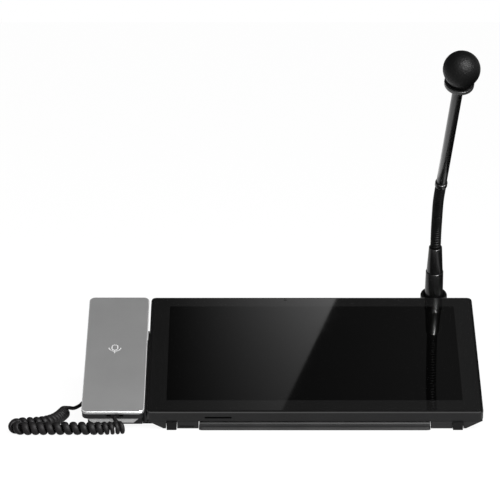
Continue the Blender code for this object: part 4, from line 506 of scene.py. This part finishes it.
def cord_routes():
    """Stations of the cord in two stretches that meet under a curl, handset end first.

    Each station is a point, the direction that its flat side faces, and its width.
    """
    start = SLOPE @ Vector((CORD_EXIT_X, CORD_EXIT_BACK, CORD_EXIT_DROP))
    leave = SLOPE.to_3x3() @ Vector((0, -1, 0))
    end = Vector((PLUG_FACE_X, GLASS_FRONT_Y + PLUG_SET_BACK, PLUG_HEIGHT))
    straight = 2 * CORD_RADIUS
    coil, outward = coil_points()
    lead = [start + leave * straight, *from_glass(LEAD_ROUTE), coil[0]]
    tail = [coil[-1], *from_glass(TAIL_ROUTE), end - Vector((straight, 0, 0))]
    lead = [start, *resample(smooth_curve(lead, LEAD_SPLITS), CORD_RADIUS / 2)]
    tail = [*resample(smooth_curve(tail, LEAD_SPLITS), CORD_RADIUS / 2), end]
    flat = Vector((0, 0, 1))
    curls = list(zip(coil, outward, cord_widths(coil)))
    cut = LEAD_CURLS * POINTS_PER_CURL
    return ([*[(point, flat, 2 * CORD_RADIUS) for point in lead[:-1]], *curls[:cut + 1]],
            [*curls[cut:], *[(point, flat, 2 * CORD_RADIUS) for point in tail[1:]]])


def flat_tube(name, stations, mats):
    """A closed tube of the flat cord's oval section along its stations."""
    count = len(stations)
    bm = bmesh.new()
    bmesh.ops.create_grid(bm, x_segments=count - 1, y_segments=CORD_SIDES, size=1)
    bm.verts.ensure_lookup_table()
    for vert in bm.verts:
        i = round((vert.co.x + 1) / 2 * (count - 1))
        turn = math.pi * (vert.co.y + 1)
        point, outward, width = stations[i]
        ahead = stations[min(i + 1, count - 1)][0] - stations[max(i - 1, 0)][0]
        across = ahead.cross(outward).normalized()
        up = across.cross(ahead).normalized()
        vert.co = (point + across * (width / 2 * math.cos(turn))
                   + up * (CORD_RADIUS * math.sin(turn)))
    bmesh.ops.remove_doubles(bm, verts=bm.verts, dist=1e-6)
    bmesh.ops.holes_fill(bm, edges=bm.edges, sides=CORD_SIDES)
    bmesh.ops.recalc_face_normals(bm, faces=bm.faces)
    return new_piece(name, to_mesh(name, bm, 60), mats["cord_black"])


def make_cord(mats):
    """Curly cord: the stretch to the handset, and the rest that stays on the desk."""
    lifted, laid = [stations[::-1] for stations in cord_routes()]
    rest = flat_tube("cord_on_desk", laid, mats)
    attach(rest, "station")
    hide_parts("curly_cord")
    lead = flat_tube("cord_to_handset", lifted, mats)
    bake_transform(lead)


# Helpers for pieces

def new_piece(name, mesh, mat):
    """A scene object for a mesh, with its finish."""
    obj = bpy.data.objects.new(name, mesh)
    bpy.context.scene.collection.objects.link(obj)
    if not mesh.materials:
        mesh.materials.append(mat)
    return obj


def to_mesh(name, bm, sharp=35):
    """Turn a bmesh into a smooth mesh with sharp edges past an angle in degrees."""
    mesh = bpy.data.meshes.new(name)
    bm.to_mesh(mesh)
    bm.free()
    mesh.shade_smooth()
    mesh.set_sharp_from_angle(angle=math.radians(sharp))
    return mesh


def spin_profile(profile, steps):
    """A bmesh spun round Z from points of (radius, height): solid if the first is on the axis."""
    bm = bmesh.new()
    row = [bm.verts.new((r, 0, z)) for r, z in profile]
    ahead = row[1:] if profile[0][0] == 0 else row[1:] + row[:1]
    edges = [bm.edges.new(pair) for pair in zip(row, ahead)]
    bmesh.ops.spin(bm, geom=row + edges, cent=(0, 0, 0), axis=(0, 0, 1), dvec=(0, 0, 0),
                   angle=2 * math.pi, steps=steps, use_merge=True, use_duplicate=False)
    bmesh.ops.remove_doubles(bm, verts=bm.verts, dist=1e-6)
    bmesh.ops.recalc_face_normals(bm, faces=bm.faces)
    return bm


def turned(name, profile, place, edge):
    """A turned ring's mesh, with the corners of its profile eased."""
    bm = spin_profile(profile, TURNED_STEPS)
    corners = [e for e in bm.edges if e.is_manifold and e.calc_face_angle(0) > 0.45]
    bmesh.ops.bevel(bm, geom=corners, offset=edge, segments=3, profile=0.5,
                    affect="EDGES", material=-1)
    bmesh.ops.transform(bm, matrix=place, verts=bm.verts)
    return to_mesh(name, bm)


def block(low, high, corner=0.0, steps=8):
    """A box bmesh, its upright edges rounded if it has a corner radius."""
    low, high = Vector(low), Vector(high)
    bm = bmesh.new()
    bmesh.ops.create_cube(bm, size=1)
    bmesh.ops.scale(bm, vec=high - low, verts=bm.verts)
    bmesh.ops.translate(bm, vec=(low + high) / 2, verts=bm.verts)
    if corner:
        upright = [e for e in bm.edges
                   if abs((e.verts[0].co - e.verts[1].co).normalized().z) > 0.9]
        bmesh.ops.bevel(bm, geom=upright, offset=corner, segments=steps, profile=0.5,
                        affect="EDGES", material=-1)
    return bm


# Glass and its frame

def make_window(mats):
    """Clear film over the display's active area; the printed border shows round it."""
    bm = block((-WINDOW_WIDTH / 2, WINDOW_START, FILM_FOOT),
               (WINDOW_WIDTH / 2, WINDOW_START + WINDOW_LENGTH, FILM_TOP), WINDOW_CORNER)
    bmesh.ops.transform(bm, matrix=SLOPE, verts=bm.verts)
    window = new_piece("display_window", to_mesh("display_window", bm), mats["display_glass"])
    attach(window, "station")


def gloss_frame_edge(frame_part, mats):
    """Polish the frame's eased edge; its sides and top stay satin."""
    frame_part.data.materials.append(mats["rim"])
    turn = SLOPE.to_3x3().inverted() @ frame_part.matrix_world.to_3x3()
    for face in frame_part.data.polygons:
        if GLOSS_EDGE_SLOPES[0] < (turn @ face.normal).normalized().z < GLOSS_EDGE_SLOPES[1]:
            face.material_index = 1


# Handset

def make_handset_face(mats):
    """Silver face plate with a facet cut round its top, bright partly as cut metal and partly as a
    painted highlight.
    """
    half, length = HANDSET_WIDTH / 2, FRAME_LENGTH
    bm = block((-half, -length / 2, -FACE_THICKNESS), (half, length / 2, 0), HANDSET_CORNER,
               CORNER_STEPS)
    rim = [e for e in bm.edges if e.calc_face_angle(0) > 1.2
           and all(abs(v.co.z) < 1e-7 for v in e.verts)]
    bmesh.ops.bevel(bm, geom=rim, offset=FACET_HEIGHT, segments=1, profile=0.5,
                    affect="EDGES", material=1)
    bmesh.ops.transform(bm, matrix=SLOPE @ Matrix.Translation((HANDSET_X, length / 2, 0)),
                        verts=bm.verts)
    mesh = to_mesh("face_plate", bm, 25)
    mesh.materials.append(mats["satin_silver"])
    mesh.materials.append(mats["chamfer"])
    plate = new_piece("face_plate", mesh, mats["satin_silver"])
    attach(plate, "handset")
    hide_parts("handset_face")


def make_sign(mats):
    """Printed microphone sign on the handset: a capsule's outline in a bracket on a stem."""
    bm = bmesh.new()
    strokes = ((SIGN_HEAD, 0, 180, SIGN_HEAD_TOP), (SIGN_HEAD, 180, 360, SIGN_HEAD_FOOT),
               (SIGN_BOW, 180, 360, 0))
    for radius, start, end, back in strokes:
        a = math.radians(start)
        ends = [bm.verts.new((r * math.cos(a), r * math.sin(a), 0))
                for r in (radius - SIGN_LINE / 2, radius + SIGN_LINE / 2)]
        for vert in ends:
            vert.co.y += back
        bmesh.ops.spin(bm, geom=[*ends, bm.edges.new(ends)], cent=(0, back, 0), axis=(0, 0, 1),
                       dvec=(0, 0, 0), angle=math.radians(end - start), steps=20,
                       use_merge=False, use_duplicate=False)
    middle = (SIGN_HEAD_TOP + SIGN_HEAD_FOOT) / 2
    side = SIGN_HEAD_TOP - SIGN_HEAD_FOOT
    bars = ((-SIGN_HEAD, middle, side), (SIGN_HEAD, middle, side),
            (0, -SIGN_BOW - SIGN_STEM / 2, SIGN_STEM))
    for x, back, length in bars:
        bmesh.ops.create_grid(bm, x_segments=1, y_segments=1, size=0.5,
                              matrix=Matrix.Translation((x, back, 0))
                              @ Matrix.Diagonal((SIGN_LINE, length, 1, 1)))
    bmesh.ops.recalc_face_normals(bm, faces=bm.faces)
    for face in bm.faces:
        if face.normal.z < 0:
            face.normal_flip()
    bmesh.ops.solidify(bm, geom=bm.faces[:], thickness=-SIGN_INK)
    bmesh.ops.transform(bm, matrix=SLOPE @ Matrix.Translation((SIGN_X, SIGN_BACK, SIGN_SET)),
                        verts=bm.verts)
    sign = new_piece("printed_sign", to_mesh("printed_sign", bm), mats["glyph"])
    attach(sign, "handset")


# Microphone

def mic_places():
    """Places of the microphone's axis, the two hose feet and the rigid head."""
    axis = SLOPE @ Matrix.Translation((MIC_X, FRAME_LENGTH + MIC_BACK_SET, 0))
    arc = HOSE_HALF - 2 * HOSE_STRAIGHT
    nod_height = HOSE_STRAIGHT + arc / NOD_BEND * math.tan(NOD_BEND / 2)
    sway_height = HOSE_STRAIGHT + arc / SWAY_BEND * math.tan(SWAY_BEND / 2)
    lower = axis @ Matrix.Translation((0, 0, TAPER_TOP + GAP))
    nod = lower @ Matrix.Translation((0, 0, nod_height)) @ Matrix.Rotation(NOD_BEND, 4, "X")
    upper = (nod @ Matrix.Translation((0, 0, nod_height + GAP))
             @ Matrix.Rotation(math.radians(90), 4, "Z"))
    sway = upper @ Matrix.Translation((0, 0, sway_height)) @ Matrix.Rotation(SWAY_BEND, 4, "X")
    return axis, lower, upper, sway @ Matrix.Translation((0, 0, sway_height + GAP))


def make_hose(name, bend, place, mats):
    """A rubber hose half with moulded ribs, bent at its middle."""
    rows = HOSE_RIBS * HOSE_ROWS_PER_RIB
    profile = [(0, 0)]
    for i in range(rows + 1):
        swell = abs(math.sin(math.pi * i / HOSE_ROWS_PER_RIB)) ** HOSE_RIB_ROUNDNESS
        profile.append((HOSE_LOW + HOSE_RIB * swell, HOSE_HALF * i / rows))
    bm = spin_profile([*profile, (0, HOSE_HALF)], HOSE_SIDES)
    arc = HOSE_HALF - 2 * HOSE_STRAIGHT
    radius = arc / bend
    for vert in bm.verts:
        s = vert.co.z
        turn = min(max(s - HOSE_STRAIGHT, 0), arc) / radius
        past = max(s - HOSE_STRAIGHT - arc, 0)
        across = vert.co.y
        vert.co.y = (-radius * (1 - math.cos(turn)) - past * math.sin(turn)
                     + across * math.cos(turn))
        vert.co.z = (min(s, HOSE_STRAIGHT) + radius * math.sin(turn) + past * math.cos(turn)
                     + across * math.sin(turn))
    bmesh.ops.transform(bm, matrix=place, verts=bm.verts)
    obj = new_piece(name, to_mesh(name, bm, 60), mats["hose_black"])
    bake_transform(obj)
    return obj


def make_microphone(mats):
    """Collar, sleeves, hose halves, ring, tube, cup and foam ball."""
    axis, lower, upper, head = mic_places()
    parts = (
        ("turned_collar", "mic_collar", "collar_black", "station", axis, 0.35 * MM,
         [(COLLAR_RADIUS - 1.8 * MM, COLLAR_TOP),
          (COLLAR_RADIUS - 0.5 * MM, COLLAR_TOP - 0.5 * MM),
          (COLLAR_RADIUS, COLLAR_TOP - 1.8 * MM), (COLLAR_RADIUS, COLLAR_FOOT),
          (COLLAR_BORE, COLLAR_FOOT), (COLLAR_BORE, COLLAR_TOP - 1.6 * MM),
          (COLLAR_BORE + 0.8 * MM, COLLAR_TOP - 0.8 * MM),
          (COLLAR_BORE + 1.3 * MM, COLLAR_TOP - 0.1 * MM)]),
        ("turned_sleeve", "mic_sleeve", "mic_black", "station", axis, 0.5 * MM,
         [(SLEEVE_TOP_RADIUS, SLEEVE_TOP), (SLEEVE_FOOT_RADIUS, COLLAR_FOOT),
          (SLEEVE_BORE, COLLAR_FOOT), (SLEEVE_BORE, SLEEVE_TOP)]),
        ("turned_taper", "mic_taper", "mic_black", "station", axis, 0.6 * MM,
         [(TAPER_TOP_RADIUS, TAPER_TOP), (TAPER_FOOT_RADIUS, TAPER_FOOT),
          (SLEEVE_BORE, TAPER_FOOT), (SLEEVE_BORE, TAPER_TOP)]),
        ("turned_ring", "joint_ring", "mic_black", "mic_head", head, 0.7 * MM,
         [(RING_RADIUS, RING_LENGTH), (RING_RADIUS, 0), (TUBE_BORE, 0),
          (TUBE_BORE, RING_LENGTH)]),
        ("drawn_tube", "mic_tube", "mic_black", "mic_head", head, 0.3 * MM,
         [(TUBE_RADIUS, TUBE_TOP), (TUBE_RADIUS, TUBE_FOOT), (TUBE_BORE, TUBE_FOOT),
          (TUBE_BORE, TUBE_TOP)]),
        ("turned_cup", "mic_cup", "mic_black", "mic_head", head, 0.45 * MM,
         [(CUP_BORE, CUP_STEP), (CUP_RADIUS - 1.1 * MM, CUP_STEP),
          (CUP_RADIUS - 0.9 * MM, CUP_RIM), (CUP_RADIUS, CUP_RIM), (CUP_RADIUS, CUP_FOOT),
          (NECK_TOP_RADIUS, CUP_FOOT), (NECK_FOOT_RADIUS, NECK_FOOT), (TUBE_BORE, NECK_FOOT),
          (TUBE_BORE, CUP_FLOOR), (CUP_BORE, CUP_FLOOR)]),
    )
    for name, node, slot, body, place, edge, profile in parts:
        finish = mats["cup_grey" if node == "mic_cup" else slot]
        obj = new_piece(name, turned(name, profile, place, edge), finish)
        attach(obj, body)
        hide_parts(node)
    halves = (("lower", NOD_BEND, lower, ("station", "gooseneck_middle")),
              ("upper", SWAY_BEND, upper, ("gooseneck_middle", "mic_head")))
    for half, bend, place, bodies in halves:
        hose = make_hose("hose_ribs_" + half, bend, place, mats)
        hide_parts("hose_" + half)
    make_foam(head, mats)


def make_foam(head, mats):
    """Foam ball over the capsule: a sphere with open cells, its neck pushed into the cup."""
    bm = bmesh.new()
    bmesh.ops.create_icosphere(bm, subdivisions=6, radius=FOAM_RADIUS)
    low = math.asin(FOAM_NECK / FOAM_RADIUS)
    foot = CUP_FLOOR + GAP - FOAM_CENTRE
    for vert in bm.verts:
        out = vert.co.normalized()
        share = math.acos(max(-1.0, min(1.0, -out.z))) / low
        if share < 1:
            flat = Vector((vert.co.x, vert.co.y, 0))
            if flat.length > 0:
                flat = flat.normalized() * FOAM_NECK * min(1.0, share / FOAM_FLAT_SHARE)
            rise = max(0.0, share - FOAM_FLAT_SHARE) / (1 - FOAM_FLAT_SHARE) * FOAM_NECK_RISE
            vert.co = Vector((flat.x, flat.y, foot + rise))
        else:
            cell = noise.voronoi(vert.co / FOAM_CELL)[0][0]
            vert.co += out * (min(cell, 0.8) - 0.4) * FOAM_RELIEF
    bmesh.ops.transform(bm, matrix=head @ Matrix.Translation((0, 0, FOAM_CENTRE)),
                        verts=bm.verts)
    obj = new_piece("foam_windscreen", to_mesh("foam_windscreen", bm, 180), mats["foam_grey"])
    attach(obj, "mic_head")
    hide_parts("foam_ball")


# Camera, floor and light

def make_camera():
    """Camera of the photograph: long lens, eight degrees above the desk."""
    lens = bpy.data.cameras.new("camera")
    lens.lens = EYE_LENS
    lens.sensor_width = EYE_SENSOR
    lens.clip_end = 50
    eye = bpy.data.objects.new("camera", lens)
    eye.location = EYE_PLACE
    eye.rotation_euler = (EYE_PITCH, 0, 0)
    bpy.context.scene.collection.objects.link(eye)
    bpy.context.scene.camera = eye


def make_floor():
    """Pale floor: white to the eye and in reflections, and still shaded by the object."""
    bm = bmesh.new()
    bmesh.ops.create_grid(bm, x_segments=1, y_segments=1, size=FLOOR_HALF)
    mat, tree, shader, place = start_material("pale_floor", 0.9)
    shader.inputs["Base Color"].default_value = from_hex("fafafa")
    shader.inputs["Specular IOR Level"].default_value = 0.1
    glow = add_node(tree, "Emission", {"Color": (1, 1, 1, 1), "Strength": FLOOR_GLOW})
    path = add_node(tree, "LightPath")
    seen = add_node(tree, "Math", {0: path.outputs["Is Camera Ray"],
                                   1: path.outputs["Is Glossy Ray"]}, operation="MAXIMUM")
    seen = add_node(tree, "Math", {0: seen.outputs[0], 1: path.outputs["Is Transmission Ray"]},
                    operation="MAXIMUM")
    share = add_node(tree, "Math", {0: seen.outputs[0], 1: FLOOR_GLOW_SHARE},
                     operation="MULTIPLY")
    both = add_node(tree, "MixShader", {0: share.outputs[0], 1: shader.outputs[0],
                                        2: glow.outputs[0]})
    tree.links.new(both.outputs[0], tree.nodes["Material Output"].inputs["Surface"])
    floor = new_piece("floor", to_mesh("floor", bm), mat)


def make_world():
    """White backdrop; mirrors see it low down and a dark studio ceiling above."""
    world = bpy.data.worlds.new("studio")
    bpy.context.scene.world = world
    world.use_nodes = True
    tree = world.node_tree
    path = add_node(tree, "LightPath")
    aim = add_node(tree, "SeparateXYZ", {0: add_node(tree, "TexCoord").outputs["Generated"]})
    low = add_node(tree, "MapRange", {"Value": aim.outputs["Z"], "From Min": SKY_FADE[0],
                                      "From Max": SKY_FADE[1], "To Min": 1.0, "To Max": 0.0})
    side = add_node(tree, "MapRange", {"Value": aim.outputs["X"], "From Min": -SIDE_REACH,
                                       "From Max": SIDE_REACH, "To Min": SIDE_LEVELS[0],
                                       "To Max": SIDE_LEVELS[1]})
    ceiling = add_node(tree, "Math", {0: low.outputs[0], 1: side.outputs[0]},
                       operation="MULTIPLY")
    ceiling = add_node(tree, "Math", {0: ceiling.outputs[0], 1: CEILING}, operation="MAXIMUM")
    mirror = add_node(tree, "Math", {0: path.outputs["Is Glossy Ray"],
                                     1: path.outputs["Is Transmission Ray"]}, operation="MAXIMUM")
    level = add_node(tree, "Mix", {0: mirror.outputs[0], 2: SKY_LEVEL,
                                   3: ceiling.outputs[0]}, data_type="FLOAT")
    level = add_node(tree, "Mix", {0: path.outputs["Is Camera Ray"], 2: level.outputs[0],
                                   3: 1.0}, data_type="FLOAT")
    tree.links.new(level.outputs[0], tree.nodes["Background"].inputs["Strength"])
    tree.nodes["Background"].inputs["Color"].default_value = (1, 1, 1, 1)


def add_lamp(name, place, target, size, power, mirrors_only=False):
    """A square soft lamp that faces a target."""
    lamp = bpy.data.lights.new(name, "AREA")
    lamp.shape = "RECTANGLE"
    lamp.size, lamp.size_y = size
    lamp.energy = power
    obj = bpy.data.objects.new(name, lamp)
    obj.location = place
    obj.rotation_euler = (Vector(target) - Vector(place)).to_track_quat("-Z", "Y").to_euler()
    obj.visible_diffuse = not mirrors_only
    bpy.context.scene.collection.objects.link(obj)


def glow_material(name):
    """A material without its shader, ready for a card's own glow."""
    mat = bpy.data.materials.new(name)
    mat.use_nodes = True
    mat.node_tree.nodes.remove(mat.node_tree.nodes["Principled BSDF"])
    return mat, mat.node_tree, mat.node_tree.nodes["Material Output"].inputs["Surface"]


def make_glare_card():
    """Studio card that only mirrors see: the wide slanted glare on the glass."""
    eye = SLOPE.inverted() @ Vector(EYE_PLACE)
    grow = 1 + GLARE_LIFT / eye.z
    bm = bmesh.new()
    for x, back in ((-GLARE_HALF_WIDTH, GLARE_FRONT), (GLARE_HALF_WIDTH, GLARE_FRONT),
                    (GLARE_HALF_WIDTH, GLARE_REAR), (-GLARE_HALF_WIDTH, GLARE_REAR)):
        bm.verts.new((x, back, 0))
    bm.faces.new(bm.verts)
    card = to_mesh("glare_card", bm)
    mat, tree, surface = glow_material("glare_card")
    place = add_node(tree, "SeparateXYZ", {0: add_node(tree, "TexCoord").outputs["Object"]})
    along = add_node(tree, "Math", {0: place.outputs["X"], 1: GLARE_SET}, operation="ADD")
    along = add_node(tree, "Math", {0: along.outputs[0], 1: 0.0}, operation="MAXIMUM")
    along = add_node(tree, "Math", {0: along.outputs[0], 1: GLARE_SCALE}, operation="MULTIPLY")
    along = add_node(tree, "Math", {0: along.outputs[0], 1: GLARE_STEEPNESS}, operation="POWER")
    back = add_node(tree, "Math", {0: place.outputs["Y"], 1: 1 / GLARE_FADE},
                    operation="MULTIPLY")
    back = add_node(tree, "Math", {0: back.outputs[0]}, operation="EXPONENT")
    both = add_node(tree, "Math", {0: along.outputs[0], 1: back.outputs[0]},
                    operation="MULTIPLY")
    level = add_node(tree, "Math", {0: both.outputs[0], 1: GLARE_GAIN, 2: GLARE_BASE},
                     operation="MULTIPLY_ADD")
    edge = add_node(tree, "Math", {0: place.outputs["Y"], 1: GLARE_SLANT, 2: GLARE_SLANT_SET},
                    operation="MULTIPLY_ADD")
    lit = add_node(tree, "Math", {0: place.outputs["X"], 1: edge.outputs[0]},
                   operation="LESS_THAN")
    rest = add_node(tree, "MapRange", {"Value": place.outputs["X"], "From Min": 0.0,
                                       "From Max": SHADE_SPAN, "To Min": SHADE_LEVELS[0],
                                       "To Max": SHADE_LEVELS[1]})
    level = add_node(tree, "Mix", {0: lit.outputs[0], 2: rest.outputs[0],
                                   3: level.outputs[0]}, data_type="FLOAT")
    glow = add_node(tree, "Emission", {"Strength": level.outputs[0]})
    tree.links.new(glow.outputs[0], surface)
    obj = new_piece("glare_card", card, mat)
    centre = (eye.x * (1 - grow), eye.y * (1 - grow), GLARE_LIFT)
    obj.matrix_world = SLOPE @ Matrix.Translation(centre) @ Matrix.Diagonal((grow, grow, 1, 1))
    only_in_mirrors(obj)


def make_mirror_card(name, place, half_width, half_length, level):
    """Studio card that shines from its front face into reflections only."""
    bm = bmesh.new()
    bmesh.ops.create_grid(bm, x_segments=1, y_segments=1, size=1)
    bmesh.ops.scale(bm, verts=bm.verts, vec=(half_width, half_length, 1))
    mat, tree, surface = glow_material(name)
    glow = add_node(tree, "Emission", {"Strength": level})
    both = add_node(tree, "MixShader", {0: add_node(tree, "NewGeometry").outputs["Backfacing"],
                                        1: glow.outputs[0],
                                        2: add_node(tree, "BsdfTransparent").outputs[0]})
    tree.links.new(both.outputs[0], surface)
    card = new_piece(name, to_mesh(name, bm), mat)
    card.matrix_world = place
    only_in_mirrors(card)


def make_flag():
    """Black studio flag at the right that only mirrors see."""
    bm = block(FLAG_LOW, FLAG_HIGH)
    mat, tree, shader, place = start_material("black_flag", 0.9, shine=0.0)
    shader.inputs["Base Color"].default_value = from_hex("060606")
    flag = new_piece("black_flag", to_mesh("black_flag", bm), mat)
    only_in_mirrors(flag)


def only_in_mirrors(obj):
    """Hide a studio card from every ray but a reflected one."""
    for ray in ("camera", "diffuse", "transmission", "volume_scatter", "shadow"):
        setattr(obj, "visible_" + ray, False)


def make_lights():
    """A soft key lamp from the front right, and what only mirrors see of the studio."""
    make_glare_card()
    add_lamp("key", (0.5, -2.0, 1.5), (0, 0, 0.05), (1.2, 1.2), 60)
    add_lamp("kicker", (0.77, -1.206, 1.104), (0.1413, -0.0709, 0.354), (0.5, 0.5), 150, True)
    make_flag()
    # Bright line along the frame's front edge and the face plate's facet
    make_mirror_card("edge_card", Matrix.Translation((-0.03, -1.355, 0.807))
                     @ Matrix.Rotation(math.radians(-121.6), 4, "X"), 0.45, 0.11, 1.8)
    # Highlight down the tube's left side, and the dark right of it
    make_mirror_card("tube_card", SLOPE @ Matrix.Translation((-0.04, 0.235, 0.145)),
                     0.158, 0.185, 2.1)
    make_mirror_card("tube_flag", SLOPE @ Matrix.Translation((0.303, 0.235, 0.145)),
                     0.16, 0.185, 0.0)


def main():
    """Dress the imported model, light it and put the camera where the photographer stood."""
    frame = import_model()
    mats = make_finishes()
    make_camera()
    make_cord(mats)
    make_floor()
    make_world()
    make_lights()
    for obj in frame["nodes"].values():
        for holder in obj.material_slots:
            holder.material = mats[holder.material.name]
    make_window(mats)
    gloss_frame_edge(frame["nodes"]["front_frame"], mats)
    make_handset_face(mats)
    make_sign(mats)
    make_microphone(mats)
    bpy.context.scene.view_settings.view_transform = "Standard"
    bpy.context.view_layer.update()


main()
